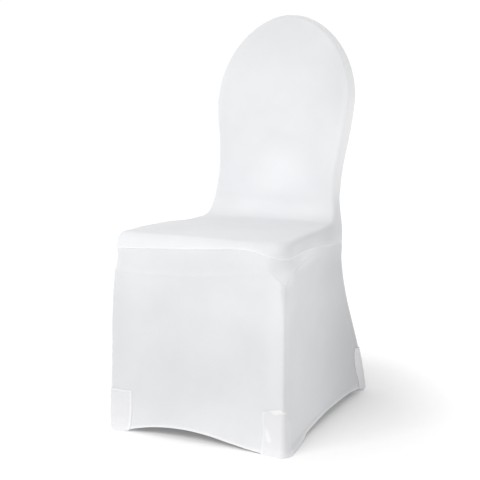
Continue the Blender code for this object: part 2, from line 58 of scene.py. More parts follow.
# Seat and back, as the cloth wraps them
SEAT_FRONT = -0.206         # y of the cushion's front edge
SEAT_TOP = 0.445            # height of the cushion's rim
SEAT_CROWN = 0.006          # rise of the cushion's middle over its rim
CORNER_AT_SEAM = (0.050, 0.020)     # plan radius of the right and left front corner, at the seam
CORNER_ON_TOP = (0.056, 0.016)      # the same, where the rolled edge ends
SEAT_ROLL = 0.021           # width of the rolled edge round the seat
BACK_ROLL = 0.013           # and round the back, where the cloth is stretched harder
ROLL_NARROWS = (0.30, 0.44)     # distances along the cloth between which the one becomes the other
ROLL_POWER = 2.8            # squareness of the rolled edges, where 2 is an ellipse
HOLLOW = 0.050              # radius of the cloth where the seat turns up into the back
BACK_TILT = radians(12.0)   # lean of the back from upright
BACK_AT_SEAT = 0.179        # y of the back's face, carried down to the height of the seat
BACK_TOP = 0.930            # height of the top of the back's face
BACK_CROWN = 0.005          # bulge of the back's face
CROWN_PEAK = 27 / 4         # brings the peak of t (1 - t) ** 2, by which both rise, up to 1
DOME_HEIGHT = 0.2094        # height of the round top over the widest place
DOME_POWER = 1.87           # squareness of the round top, where 2 is an ellipse
FACE_TO_SEAM = 0.026        # from the back's face to its seam
SEAM_TO_REAR = 0.010        # from that seam to the rear face
REAR_ROLL = 0.014           # width of the rear panel's rolled edge
REAR_CROWN = 0.003          # bulge of the rear face
MEET = radians(27.4)        # angle round the hollow at which the seat seam meets the back seam
DOME_CORNER = radians(48)   # angle up the dome at which its side ends and its top begins
DEPTH_MIDDLE = 0.0463       # middle of the depth, which becomes y = 0

# These three go by the distance along the cloth from the front edge. First, half the width of the
# seat and back, and how far the cloth lies under the seat's front rim or the back's face.
WIDTHS = {
    "along": (0.020, 0.120, 0.240, 0.335, 0.375, 0.415, 0.450, 0.507, 0.560, 0.605, 0.655),
    "half": (.2035, .1965, .1890, .1812, .1728, .1634, .1607, .1622, .1687, .1755, .1792),
    "sink": (.0000, .0008, .0032, .0046, .0034, .0012, .0000, .0000, .0000, .0000, .0000),
}
WIDEST = WIDTHS["half"][-1]

# How square the rolled edge is, and over what share of its width it leans in
EDGE = {
    "along": (0.021, 0.032, 0.070, 0.330, 0.430),
    "square": (2.80, 3.00, 4.00, 3.60, 2.80),
    "lean": (0.36, 0.04, 0.04, 0.06, 0.26),
}

# How far the cushion's edge leans in over its seam, on the right
LEAN = {
    "along": (0.020, 0.045, 0.070, 0.120, 0.200, 0.280, 0.340),
    "inward": (0.0135, 0.0125, 0.0095, 0.0075, 0.0060, 0.0025, 0.0000),
}

# Height of the seat seam across the front, where the cloth is drawn up towards one side
FRONT_SEAM = {
    "x": (-0.200, -0.140, -0.040, 0.054, 0.105, 0.140, 0.170, 0.200),
    "height": (0.4110, 0.4140, 0.4200, 0.4275, 0.4305, 0.4275, 0.4185, 0.4110),
}

# Height of the seat seam along each side
SIDE_SEAM = {
    "y": (-0.206, -0.160, -0.046, 0.024, 0.128, 0.194),
    "height": (0.4110, 0.4130, 0.4125, 0.4080, 0.3960, 0.3887),
}

# The skirt below the seat seam. A fall of 0 is at the seam, 1 where the cloth leaves the seat rail
# and 2 at the hem. The front corner is sharp at (front_x, front_y) before front_round rounds it.
# The rear corner lies at rear_x, and hollow is how far the middles of the four faces draw in.
LEVELS = {
    "fall": (0.00, 0.50, 1.00, 1.18, 1.50, 1.80, 2.00),
    "front_x": (0.2035, 0.2045, 0.2060, 0.2080, 0.2097, 0.2112, 0.2130),
    "front_y": (-0.2060, -0.2072, -0.2090, -0.2112, -0.2150, -0.2185, -0.2210),
    "front_round": (0.020, 0.024, 0.013, 0.006, 0.006, 0.006, 0.009),
    "rear_x": (0.1740, 0.1744, 0.1756, 0.1820, 0.1932, 0.2012, 0.2052),
    "hollow": (0.000, 0.000, 0.000, 0.005, 0.008, 0.010, 0.011),
}
FADE_POWER = 2.0            # how late the hollow of a face fades towards its corners

# How much rounder than that the front right corner is, between the seam and the rail
RIGHT_EASE = {
    "fall": (0.00, 0.25, 0.70, 0.98),
    "round": (0.0300, 0.0230, 0.0140, 0.0000),
}

# How far below the seam the cloth leaves the seat rail, across the front and along a side
FRONT_RAIL = {
    "place": (-1.00, -0.83, -0.55, -0.25, 0.24, 0.62, 0.80, 1.00),
    "drop": (0.0520, 0.0528, 0.0565, 0.0577, 0.0568, 0.0510, 0.0465, 0.0520),
}
SIDE_RAIL = {
    "place": (0.00, 0.08, 0.16, 0.38, 0.65, 1.00),
    "drop": (0.052, 0.040, 0.029, 0.019, 0.011, 0.009),
}
REAR_RAIL = SIDE_RAIL["drop"][-1]

# y of the rear face by height: upright behind the seat, then splayed along the rear legs
REAR_LEGS = {
    "height": (0.000, 0.055, 0.105, 0.150, 0.192, 0.240, 0.285, 0.330, 0.370, 0.410),
    "y": (0.3135, 0.2985, 0.2790, 0.2590, 0.2400, 0.2195, 0.2065, 0.2000, 0.2010, 0.2084),
}

# Height of the hem, by the place along each face: -1 to 1 across the front and the rear, and
# 0 at the front corner to 1 at the rear corner along a side
HEM_LOW = 0.0024            # height of the hem inside a pocket
FRONT_HEM = {
    "place": (-0.86, -0.72, -0.55, -0.35, -0.10, 0.15, 0.40, 0.64, 0.80),
    "height": (HEM_LOW, 0.0090, 0.0160, 0.0205, 0.0215, 0.0175, 0.0100, 0.0042, HEM_LOW),
}
SIDE_HEM = {
    "place": (0.06, 0.14, 0.21, 0.30, 0.41, 0.56, 0.72, 0.88, 0.96, 1.00),
    "height": (HEM_LOW, 0.0028, 0.0050, 0.0082, 0.0122, 0.0158, 0.0168, 0.0145, 0.0085, HEM_LOW),
}
REAR_HEM = {
    "place": (-1.00, -0.74, -0.40, 0.00, 0.40, 0.74, 1.00),
    "height": (HEM_LOW, 0.0040, 0.0165, 0.0215, 0.0165, 0.0040, HEM_LOW),
}

# The feet: middle of each in (x, y), the share of the way to it by which the cloth is drawn in
# under its lower edge in x and y, and up to which height. A wide foot pushes the cloth out instead,
# and sideways only behind its rounded front corner.
FEET = (
    ((-0.178, -0.186), (0.34, -0.30), 0.018),
    ((0.178, -0.160), (-0.52, -0.04), 0.024),
    ((-0.175, 0.275), (0.25, 0.25), 0.012),
    ((0.175, 0.275), (0.25, 0.25), 0.012),
)
FOOT_REACH = (0.060, 0.095)     # how far from its middle a foot shapes the cloth: fully, and at all
FOOT_CORNER = (-0.223, -0.196)  # from which y to which the push sideways begins

# Foot pockets
FRONT_POCKET_TOP = 1.742    # how far down the fall the front pockets' top edges lie
REAR_POCKET_TOP = 1.705     # and the rear pockets'
OFF_FLOOR = 0.0002          # air between a pocket and the floor
INNER_WALL_HEIGHT = 0.066   # height of the wall behind the foot
INNER_WALL_GAP = 0.0014     # air between that wall and the panels at its two ends
INNER_WALL_POWER = 4.5      # squareness of that wall's corner

FACE_FIRST = ("front_right", "rear_left")   # pockets whose first column lies on the face
CREASED = "front_right"     # the pocket with slack cloth low down

# How each pocket is cut. Across it, from its edge on the front or rear face (0) round to its edge
# on the side (1): how far its top rises over the level above, and how wide its folded top is. Up
# it, from the floor (0) to the top (1): how far its edge on the face and on the side draws in.
# Last, how plainly its hem shows along those two edges. The rear pockets share most of theirs.
REAR_CUT = {
    "across": (0.00, 0.40, 0.60, 1.00),
    "fold": (0.004, 0.004, 0.004, 0.004),
    "up": (0.00, 0.20, 0.40, 0.65, 0.85, 1.00),
    "face_edge": (0.0030, 0.0010, 0.0000, 0.0012, 0.0004, 0.0010),
    "hem": (0.8, 0.35),
}
POCKETS = {
    "front_left": {
        "across": (0.00, 0.35, 0.62, 0.80, 1.00),
        "rise": (-0.0042, -0.0015, 0.0000, -0.0005, -0.0030),
        "fold": (0.003, 0.004, 0.005, 0.005, 0.004),
        "up": (0.00, 0.15, 0.35, 0.60, 0.85, 1.00),
        "face_edge": (0.0045, 0.0032, 0.0012, 0.0000, 0.0004, 0.0000),
        "side_edge": (0.0040, 0.0020, 0.0000, 0.0010, 0.0000, 0.0010),
        "hem": (1.0, 1.0),
    },
    "front_right": {
        "across": (0.00, 0.26, 0.32, 0.60, 0.72, 0.86, 1.00),
        "rise": (-0.0085, -0.0025, -0.0010, 0.0055, 0.0035, -0.0080, -0.0230),
        "fold": (0.003, 0.004, 0.009, 0.010, 0.005, 0.003, 0.003),
        "up": (0.00, 0.20, 0.45, 0.70, 0.90, 1.00),
        "face_edge": (0.0020, 0.0028, 0.0045, 0.0035, 0.0030, 0.0026),
        "side_edge": (0.0060, 0.0020, 0.0000, 0.0000, 0.0020, 0.0050),
        "hem": (0.40, 1.0),
    },
    "rear_left": {
        **REAR_CUT,
        "rise": (-0.0030, 0.0000, 0.0010, -0.0040),
        "side_edge": (0.0060, 0.0070, 0.0035, 0.0030, 0.0080, 0.0160),
    },
    "rear_right": {
        **REAR_CUT,
        "rise": (-0.0030, 0.0000, 0.0020, 0.0000),
        "side_edge": (0.0085, 0.0090, 0.0030, 0.0035, 0.0095, 0.0200),
    },
}

# Sewing
SEAM_RIDGE = (0.0013, 0.0032, 0.0011)   # height of a seam's ridge, its width above and below
SEAM_SINKS = 0.25           # share of its relief that a seam keeps where it hardly shows
ALLOWANCE = (0.0003, 0.0085)    # how far the seam allowance shows through, and how wide
PUCKER = (0.00022, 0.011)   # height and spacing of the small puckers along a seam
HEM_BAND = (0.0003, 0.012)  # extra thickness and height of the turned hem
HEM_EDGE = 0.0036           # width of the white edge that a turned hem shows
# the white of a seam's ridge is partly its doubled cloth and partly a painted highlight
SEAM_LAYERS = (0.0015, 0.12)    # width of the doubled ridge, and how plainly the allowance shows
SEAM_REACH = 0.02           # how far from a seam it can still stand out
LINE_STEP = 0.0003          # spacing of the points on a seam that distances are taken from
LINE_REACH = 0.03           # how far round a seam they are taken
STITCH = (0.0030, 0.00042)  # length and radius of one stitch
STITCH_RINGS = (            # share of its length and of its radius at each ring of a stitch
    (0.0, 0.35), (0.18, 0.9), (0.5, 1.0), (0.82, 0.9), (1.0, 0.35))
STITCH_SIDES = 5
STITCH_PITCH = 0.0046       # from the start of one stitch to the next
STITCH_LINES = (0.0088, 0.0118)     # rows of stitches above the hem's edge
STITCH_DENT = (0.0003, 0.0009)      # how deep and wide a row of stitches draws the hem in
POCKET_STITCHES = 0.0012    # how far above its lower edge a pocket's folded top is stitched
POCKET_STITCH_ENDS = 3      # columns at each end of it that have no stitches

# How plainly the seam round the seat and back shows, by y: as a thick white ridge in front, here
# and there along the sides, faintly round the back. That white is partly the doubled cloth and
# partly a painted highlight.
SEAM_SHOWS = {
    "y": (-0.202, -0.188, -0.176, -0.155, -0.130, -0.085, -0.040, 0.150),
    "share": (1.00, 0.95, 0.55, 0.50, 0.18, 0.42, 0.14, 0.08),
}

# The print of the seat rail: height, how far below its lower edge, and width
RAIL_PRINT = ((0.0007, 0.001, 0.0045), (-0.0004, 0.014, 0.010))

# Soft folds that tension leaves: from and to (before the depth is centred), half width and height.
# Positive heights stand out, negative ones sink in.
FOLDS = [
    # across the cloth where the seat turns up into the back
    ((-0.150, 0.120, 0.452), (-0.118, 0.176, 0.530), 0.011, 0.0010),
    ((0.150, 0.120, 0.452), (0.120, 0.176, 0.530), 0.011, 0.0010),
    # from the front corners of the seat, down along the apron
    ((-0.196, -0.212, 0.405), (-0.120, -0.212, 0.372), 0.012, 0.0007),
    ((0.196, -0.212, 0.405), (0.130, -0.212, 0.378), 0.012, 0.0007),
    # from the front feet, up into the front
    ((-0.168, -0.215, 0.098), (-0.120, -0.212, 0.215), 0.014, 0.0009),
    ((0.168, -0.215, 0.098), (0.118, -0.212, 0.225), 0.014, 0.0009),
    ((-0.150, -0.215, 0.070), (-0.070, -0.212, 0.165), 0.013, -0.0006),
    ((0.150, -0.215, 0.070), (0.066, -0.212, 0.160), 0.013, -0.0006),
    # along the sides, from the front foot up and from the rear foot up
    ((0.208, -0.180, 0.095), (0.200, -0.080, 0.220), 0.014, 0.0008),
    ((-0.208, -0.180, 0.095), (-0.200, -0.080, 0.220), 0.014, 0.0008),
    ((0.202, 0.235, 0.120), (0.188, 0.150, 0.260), 0.014, 0.0009),
    ((-0.202, 0.235, 0.120), (-0.188, 0.150, 0.260), 0.014, 0.0009),
]

# How far the cover has been pulled over to the right behind the seat, by height, and how far the
# seat's rear left corner sags
SWAY = {
    "height": (.352, .395, .430, .470, .490, .520, .560, .600, .620, .645, .670, .700),
    "right": (.0000, .0036, .0036, .0006, .0000, .0014, .0020, .0026, .0026, .0014, .0004, .0000),
}
SAG = 0.0034

# Uneven cloth: height and spacing of each size of unevenness
CLOTH_WAVES = ((0.00035, 0.16), (0.00010, 0.045))
POCKET_WAVES = ((0.0007, 0.040), (0.0003, 0.018))

# Folded edges and wrinkles of a pocket
POCKET_HEM = (0.0050, 0.0064)       # where its side hem ends, from the edge
POCKET_STAND = (0.0005, 0.014)      # how far its top stands off the cloth, fading downwards
POCKET_FOLD = 0.0004                # extra thickness of its folded top
POCKET_SIDE_FOLD = 0.0006           # and of its side hems
POCKET_WRINKLES_LIE = 1.9           # how much wider than tall its wrinkles are
POCKET_DENT = 0.0004                # the most that they sink in
POCKET_THINNEST = 0.0007            # its least thickness
SLACK = 0.0012                      # height of the slack cloth low on the creased pocket
SOLE_CLOTH = 0.0016                 # thickness of the sole and of the wall behind the foot
SOLE_ROWS = 9


# --- Where the columns and rows of points stand ---------------------------------------------

def split(places, parts):
    """The same places with each space between them cut into parts."""
    pieces = [np.linspace(a, b, parts, endpoint=False) for a, b in zip(places[:-1], places[1:])]
    return np.concatenate(pieces + [[places[-1]]])


FINE = 6                    # columns of the scene for one of the solids'
FRONT_PLACES = split((0.0, 0.22, 0.43, 0.61, 0.77, 0.89, 1.0), FINE)[:-1]
FRONT_POCKET_COLUMN = 4 * FINE
SIDE_PLACES = split(
    (0.0, 0.027, 0.055, 0.15, 0.26, 0.37, 0.49, 0.61, 0.72, 0.82, 0.912, 1.0), FINE)[:-1]
SIDE_POCKET_COLUMN = 2 * FINE
REAR_POCKET_COLUMN = 10 * FINE
BEND_STEPS = 16             # round a front corner
TURN_STEPS = 12             # from the meeting of the seams to the end of the hollow
BACK_STEPS = 50
DOME_STEPS = 34             # up the side of the dome
TOP_STEPS = len(FRONT_PLACES) + BEND_STEPS // 2
REAR_POCKET_REACH = 0.030   # how far a rear pocket comes round onto the rear face

# Indices on the loop round the seat and back, counted from the middle of the front
BEND_START = len(FRONT_PLACES)
FRONT_CORNER = BEND_START + BEND_STEPS // 2
SIDE_START = BEND_START + BEND_STEPS
SEAMS_MEET = SIDE_START + len(SIDE_PLACES)
TOP_CORNER = SEAMS_MEET + TURN_STEPS + BACK_STEPS + DOME_STEPS
LOOP = 2 * (TOP_CORNER + TOP_STEPS)

# Shares of a rolled edge's height at its rings, close together by the seam
NEAR_SEAM = (0.0, 0.018, 0.036, 0.056, 0.080, 0.110, 0.145, 0.185, 0.23, 0.28, 0.34, 0.41, 0.49,
             0.58)
ROLL_ROUND = 12             # rings round the rest of the seat's and back's rolled edge
REAR_ROUND = 8

SKIRT_LENGTH = 0.37         # from the rail to the hem, near enough to space the rows by
BY_THE_SEAM = (0.0, 0.009, 0.018, 0.028, 0.040, 0.055, 0.075, 0.10, 0.13, 0.165)
FALLS = np.concatenate([
    BY_THE_SEAM,
    np.linspace(0.21, 1, 16),
    np.linspace(1, REAR_POCKET_TOP, 54)[1:],
    np.linspace(REAR_POCKET_TOP, FRONT_POCKET_TOP, 5)[1:],
    np.linspace(FRONT_POCKET_TOP, 1.955, 19)[1:],
    2 - np.array([0.0145, 0.0132, 0.0122, 0.0114, 0.0100, 0.0085, 0.0070, 0.0052, 0.0036, 0.0022,
                  0.0012, 0.0005, 0.0]) / SKIRT_LENGTH,
])


# --- The cloth's shape ----------------------------------------------------------------------

def smooth(table, name, at, by=None):
    """A smooth curve through one row of a table, by its first row, held past both ends."""
    stations = np.array(table[by or next(iter(table))], float)
    values = np.array(table[name], float)
    slopes = np.gradient(values, stations)
    at = np.clip(np.asarray(at, float), stations[0], stations[-1])
    low = np.clip(np.searchsorted(stations, at) - 1, 0, len(stations) - 2)
    span = stations[low + 1] - stations[low]
    t = (at - stations[low]) / span
    leaving = values[low] * (1 + 2 * t) + slopes[low] * span * t
    arriving = values[low + 1] * (3 - 2 * t) - slopes[low + 1] * span * (1 - t)
    return leaving * (1 - t) ** 2 + arriving * t ** 2


def between(low, high, t):
    return low + (high - low) * t


def ease(low, high, at):
    """From 0 at low to 1 at high, without a corner."""
    t = np.clip((at - low) / (high - low), 0, 1)
    return t * t * (3 - 2 * t)


def bump(at, middle, width):
    return np.exp(-((at - middle) / width) ** 2)


def unit(vectors):
    """Directions of length 1. Where there is none, it stays 0."""
    return vectors / np.maximum(np.linalg.norm(vectors, axis=-1, keepdims=True), 1e-12)


def run_of(line):
    """How far along a line of points each of them lies."""
    return np.concatenate([[0], np.cumsum(np.linalg.norm(np.diff(line, axis=0), axis=1))])


def on_line(at, run, line):
    """The points or directions at distances along a line of them."""
    return np.stack([np.interp(at, run, line[:, k]) for k in range(3)], axis=-1)


# The middle line: along the seat, round the hollow and up the face of the back
TURN = pi / 2 - BACK_TILT
TURN_REACH = HOLLOW * tan(TURN / 2)
SEAT_LENGTH = BACK_AT_SEAT - TURN_REACH - SEAT_FRONT
TURN_END = SEAT_LENGTH + HOLLOW * TURN
WHOLE_LENGTH = TURN_END + (BACK_TOP - SEAT_TOP) / cos(BACK_TILT) - TURN_REACH
DOME_START = WHOLE_LENGTH - DOME_HEIGHT
CENTRE_Y = SEAT_FRONT + SEAT_LENGTH
CENTRE_Z = SEAT_TOP + HOLLOW
MEETING = SEAT_LENGTH + HOLLOW * MEET
MEETING_DEPTH = (HOLLOW + FACE_TO_SEAM) * cos(MEET) / cos(TURN - MEET)
MEETING_Y = CENTRE_Y + MEETING_DEPTH * tan(MEET)
MEETING_Z = CENTRE_Z - MEETING_DEPTH
REAR_AT_SEAT = BACK_AT_SEAT + (FACE_TO_SEAM + SEAM_TO_REAR) / cos(BACK_TILT)
BEHIND = np.array([0.0, cos(BACK_TILT), -sin(BACK_TILT)])


def turn_angle(along):
    return np.clip((along - SEAT_LENGTH) / HOLLOW, 0, TURN)


def lift(flat, above):
    """Sets points given as (x, along) in space, at a height over the cloth's middle line."""
    x, along = flat[:, 0], flat[:, 1]
    angle = turn_angle(along)
    radius = HOLLOW - above
    rise = np.maximum(along - TURN_END, 0)
    y = CENTRE_Y + np.minimum(along - SEAT_LENGTH, 0)
    y = y + radius * np.sin(angle) + rise * sin(BACK_TILT)
    z = CENTRE_Z - radius * np.cos(angle) + rise * cos(BACK_TILT)
    return np.stack([x, y, z], axis=1)


def upward(flat):
    """The direction away from the chair, over the middle line."""
    angle = turn_angle(flat[:, 1])
    return np.stack([0 * angle, -np.sin(angle), np.cos(angle)], axis=1)


def crown(flat):
    """Height of the seat and back over the middle line, greatest between their rolled edges."""
    along = flat[:, 1]
    past = np.clip((along - DOME_START) / DOME_HEIGHT, 0, 0.99)
    half = smooth(WIDTHS, "half", along) * np.sqrt(1 - past ** 2)
    across = np.clip(1 - (flat[:, 0] / half) ** 2, 0, 1)
    seat = np.clip(along / SEAT_LENGTH, 0, 1)
    back = np.clip((along - TURN_END) / (WHOLE_LENGTH - TURN_END), 0, 1)
    bulge = CROWN_PEAK * (SEAT_CROWN * seat * (1 - seat) ** 2 + BACK_CROWN * back ** 2 * (1 - back))
    return across * bulge - smooth(WIDTHS, "sink", along)


def along_side(side_start):
    """Distances along the cloth of a side's columns, spread evenly along the seam itself."""
    y = between(SEAT_FRONT + CORNER_AT_SEAM[1], MEETING_Y, SIDE_PLACES)
    past = np.arctan(np.maximum(y - CENTRE_Y, 0) / MEETING_DEPTH)
    along = np.minimum(y - SEAT_FRONT, SEAT_LENGTH) + HOLLOW * past
    return along + (side_start - CORNER_AT_SEAM[1]) * (1 - SIDE_PLACES) ** 2


def outline(inset, corner, back_inset=None):
    """Right half of the seat and back in (x, along), from the front's middle to the top."""
    back_inset = inset if back_inset is None else back_inset
    side_start = inset + corner
    corner_x = float(smooth(WIDTHS, "half", side_start)) - side_start
    front = np.stack([corner_x * FRONT_PLACES, inset + 0 * FRONT_PLACES], axis=1)
    a = np.linspace(0, pi / 2, BEND_STEPS, endpoint=False)
    bend = np.stack([corner_x + corner * np.sin(a), side_start - corner * np.cos(a)], axis=1)
    turn = np.linspace(MEETING, TURN_END, TURN_STEPS, endpoint=False)
    back = np.linspace(TURN_END, DOME_START, BACK_STEPS, endpoint=False)
    along = np.concatenate([along_side(side_start), turn, back])
    in_by = between(inset, back_inset, ease(*ROLL_NARROWS, along))
    side = np.stack([smooth(WIDTHS, "half", along) - in_by, along], axis=1)
    low = np.linspace(0, DOME_CORNER, DOME_STEPS, endpoint=False)
    high = np.linspace(DOME_CORNER, pi / 2, TOP_STEPS + 1)
    angles = np.concatenate([low, high])
    across = (WIDEST - back_inset) * np.abs(np.cos(angles)) ** (2 / DOME_POWER)
    across[-1] = 0
    up = DOME_START + (DOME_HEIGHT - back_inset) * np.sin(angles) ** (2 / DOME_POWER)
    return np.concatenate([front, bend, side, np.stack([across, up], axis=1)])


def leaned(flat):
    """Points of the seat's top, with those on the right drawn in over the seam."""
    share = np.clip(flat[:, 0] / smooth(WIDTHS, "half", flat[:, 1]), 0, 1) ** 2
    return flat - np.stack([smooth(LEAN, "inward", flat[:, 1]) * share, 0 * share], axis=1)


def mirrored(points):
    return points * np.where(np.arange(points.shape[-1]) == 0, -1.0, 1.0)


def both_sides(inset, corners, back_inset=None):
    """The outline as a loop: up the right side, down the left, each with its own front corner."""
    right, left = (outline(inset, corner, back_inset) for corner in corners)
    return np.concatenate([right, mirrored(left[-2:0:-1])])


def part_of(loop, start, stop):
    """Part of a loop from one index up to another, both included, past its end if need be."""
    return np.take(loop, range(start, stop + 1), axis=0, mode="wrap")


def seam_loop():
    """The seam round the seat and back, from the front's middle: up the right, down the left."""
    flat = both_sides(0, CORNER_AT_SEAM)
    along = flat[:, 1]
    angle = turn_angle(along)
    y = SEAT_FRONT + np.minimum(along, SEAT_LENGTH)
    y = y + MEETING_DEPTH * np.tan(np.minimum(angle, MEET))
    settle = np.clip((y - CENTRE_Y) / (MEETING_Y - CENTRE_Y), 0, 1)
    side = smooth(SIDE_SEAM, "height", y) + (MEETING_Z - SIDE_SEAM["height"][-1]) * settle
    front = smooth(FRONT_SEAM, "height", flat[:, 0])
    height = between(front, side, ease(0, np.where(flat[:, 0] > 0, *CORNER_AT_SEAM), along))
    under_seat = (CENTRE_Z - height) / np.cos(angle) - HOLLOW
    behind_back = (HOLLOW + FACE_TO_SEAM) / np.cos(TURN - angle) - HOLLOW
    return lift(flat, -np.where(along < MEETING - TINY, under_seat, behind_back))


def roll_angles(near, rounds, power):
    """Angles of the rings round a rolled edge: at shares of its height, then evenly."""
    first = np.arcsin(np.array(near) ** (power / 2))
    return np.concatenate([first, np.linspace(first[-1], pi / 2, rounds + 1)[1:]])


SEAT_RINGS = roll_angles(NEAR_SEAM, ROLL_ROUND, ROLL_POWER)
REAR_RINGS = roll_angles([3 * near for near in NEAR_SEAM if near < 0.3], REAR_ROUND, ROLL_POWER)
REAR_ROLL_RINGS = len(REAR_RINGS) - 1


def rolled(outer, inner, outward, angles, power, lean=0.0):
    """Rings that round an edge, from outer points to inner ones that stand further outward."""
    step = inner - outer
    height = outward * np.sum(step * outward, axis=-1, keepdims=True)
    rings = [outer]
    for angle in angles[1:-1]:
        up = sin(angle) ** (2 / power)
        sideways = 1 - (1 - lean * up) * cos(angle) ** (2 / power)
        rings.append(outer + (step - height) * sideways + height * up)
    return rings + [inner]


def fill(bottom, right, top, left):
    """Rows of points between four sides: two run from the left, two upward, and ends are shared."""
    across = np.linspace(0, 1, len(bottom))[None, :, None]
    up = np.linspace(0, 1, len(left))[:, None, None]
    sides = between(left[:, None], right[:, None], across)
    ends = between(bottom[None], top[None], up)
    corners = between(between(bottom[0], bottom[-1], across), between(top[0], top[-1], across), up)
    return sides + ends - corners


# The skirt and the rear panel

def level(name, fall):
    return float(smooth(LEVELS, name, fall))


def height_at(fall, seam, drop, hem):
    """Height on a column of cloth that drops from the seam, over the rail, to the hem."""
    if fall <= 1:
        return seam - drop * fall
    return between(seam - drop, hem, fall - 1)


def drawn_in(place):
    """Share of a face's hollow at a place on it from -1 to 1."""
    return 1 - np.abs(place) ** FADE_POWER


def rear_y(x, z, hollow=0.0, half=WIDEST):
    """The rear face: the outside of the back above, a hollow sheet between the legs below."""
    up = np.clip((z - SEAT_TOP) / (BACK_TOP - SEAT_TOP), 0, 1)
    place = np.clip(np.abs(x) / half, 0, 1)
    back = REAR_AT_SEAT + (z - SEAT_TOP) * tan(BACK_TILT)
    back = back + REAR_CROWN * 4 * up * (1 - up) * (1 - place ** 2)
    legs = smooth(REAR_LEGS, "y", z) - hollow * drawn_in(place)
    return np.where(z > REAR_LEGS["height"][-1], back, legs)


def hollow_at(fall):
    """How far the middle of a face draws in, once the cloth has left the rail."""
    return level("hollow", fall) if fall > 1 else 0.0


def rear_corner(fall):
    """The seam between the skirt and the rear panel, on the right."""
    z = height_at(fall, MEETING_Z, REAR_RAIL, HEM_LOW)
    x = level("rear_x", max(fall, 1))
    x -= (level("rear_x", 1) - level("rear_x", 0)) * max(0, 1 - fall)
    return np.array([x, float(smooth(REAR_LEGS, "y", z)) - SEAM_TO_REAR, z])


def skirt_half(fall, seam, side):
    """One half of a row of the skirt, from the front's middle to the rear corner."""
    corner_x, corner_y = level("front_x", fall), level("front_y", fall)
    bend, hollow = level("front_round", fall), hollow_at(fall)
    if side > 0:
        bend += float(smooth(RIGHT_EASE, "round", fall))
    rear = rear_corner(fall)
    angle = pi / 2 * np.arange(BEND_STEPS) / BEND_STEPS
    x = np.concatenate([
        FRONT_PLACES * (corner_x - bend),
        corner_x - bend * (1 - np.sin(angle)),
        between(corner_x, rear[0], SIDE_PLACES) - hollow * drawn_in(2 * SIDE_PLACES - 1),
        rear[:1],
    ])
    y = np.concatenate([
        corner_y + hollow * drawn_in(FRONT_PLACES),
        corner_y + bend * (1 - np.cos(angle)),
        between(corner_y + bend, rear[1], SIDE_PLACES),
        rear[1:2],
    ])
    drop = np.concatenate([
        smooth(FRONT_RAIL, "drop", side * FRONT_PLACES), SIDE_RAIL["drop"][0] + 0 * angle,
        smooth(SIDE_RAIL, "drop", SIDE_PLACES),
    ])
    hem = np.concatenate([
        smooth(FRONT_HEM, "height", side * FRONT_PLACES), HEM_LOW + 0 * angle,
        smooth(SIDE_HEM, "height", SIDE_PLACES),
    ])
    z = np.append(height_at(fall, seam[:-1, 2], drop, hem), rear[2])
    return np.stack([side * x, y, z], axis=1)


def skirt_rows(seam):
    """Rows of the skirt from the seam down, each from the left rear corner round to the right."""
    top = part_of(seam, -SEAMS_MEET, SEAMS_MEET)

    def row(fall):
        right = skirt_half(fall, top[SEAMS_MEET:], 1.0)
        left = skirt_half(fall, top[SEAMS_MEET::-1], -1.0)
        return np.concatenate([left[:0:-1], right])

    start = row(0.0)
    rows = [top]
    for fall in FALLS[1:]:
        rows.append(row(fall) + (top - start) * max(0.0, 1 - fall) ** 2)
    return rows


def rear_edges(seam):
    """Where the rear panel's rolled edge ends on the rear face, from seam meeting to meeting."""
    flat = both_sides(REAR_ROLL, CORNER_AT_SEAM)
    face = lift(flat, -(FACE_TO_SEAM + SEAM_TO_REAR) * np.ones(len(flat)))
    low = flat[:, 1] < TURN_END - TINY
    face[low, 0] = seam[low, 0] - np.sign(seam[low, 0]) * REAR_ROLL
    face[low, 2] = seam[low, 2] - SEAM_TO_REAR * sin(BACK_TILT)
    face[:, 1] = rear_y(face[:, 0], face[:, 2])
    return face


def rear_low_rows(edges, skirt):
    """Rows of the rear panel below the seat, from its left corner to its right corner."""
    across = np.linspace(-1, 1, 2 * TOP_STEPS + 1)
    hem = smooth(REAR_HEM, "height", across)
    top = edges[SEAMS_MEET][2]
    rows = []
    for fall, skirt_row in zip(FALLS, skirt):
        right = skirt_row[-1]
        below = min(fall, 1.0)
        x = across * between(edges[SEAMS_MEET][0], right[0] - REAR_ROLL, below)
        z = height_at(fall, top, REAR_RAIL, hem) + 0 * x
        y = rear_y(x, z, hollow_at(fall), right[0])
        face = np.stack([x, y, z], axis=1)
        outward = between(BEHIND, np.array([0.0, 1.0, 0.0]), below)
        roll = rolled(right, face[-1], outward, REAR_RINGS, ROLL_POWER)
        left = [mirrored(point) for point in roll[:-1]]
        rows.append(np.array(left + list(face) + roll[-2::-1]))
    return rows


# --- The cloth as one surface, cut apart into panels ----------------------------------------

class Surface:
    """Shared points and the faces of each panel, seen from outside the chair."""

    def __init__(self):
        self.points = []
        self.numbers = {}
        self.panels = {}

    def number(self, row):
        """The numbers of a row of points, each a new one unless it is known."""
        out = []
        for key, point in zip(map(tuple, np.rint(row * POINT_GRID).astype(int)), row):
            if key not in self.numbers:
                self.numbers[key] = len(self.points)
                self.points.append(point)
            out.append(self.numbers[key])
        return out

    def faces(self):
        return [face for panel in self.panels.values() for face in panel]

    def strip(self, panel, low, high, closed=False, turned=False):
        """Faces between two rows of numbers that both run from left to right."""
        faces = self.panels.setdefault(panel, [])
        for k in range(len(low) if closed else len(low) - 1):
            n = (k + 1) % len(low)
            face = tuple(dict.fromkeys((low[k], low[n], high[n], high[k])))
            if len(face) > 2:
                faces.append(face[::-1] if turned else face)

    def grid(self, panel, rows, closed=False, turned=False):
        """Faces between rows of points that are listed upward; returns their numbers."""
        numbered = [self.number(row) for row in rows]
        for lower, upper in zip(numbered[:-1], numbered[1:]):
            self.strip(panel, lower, upper, closed, turned)
        return numbered


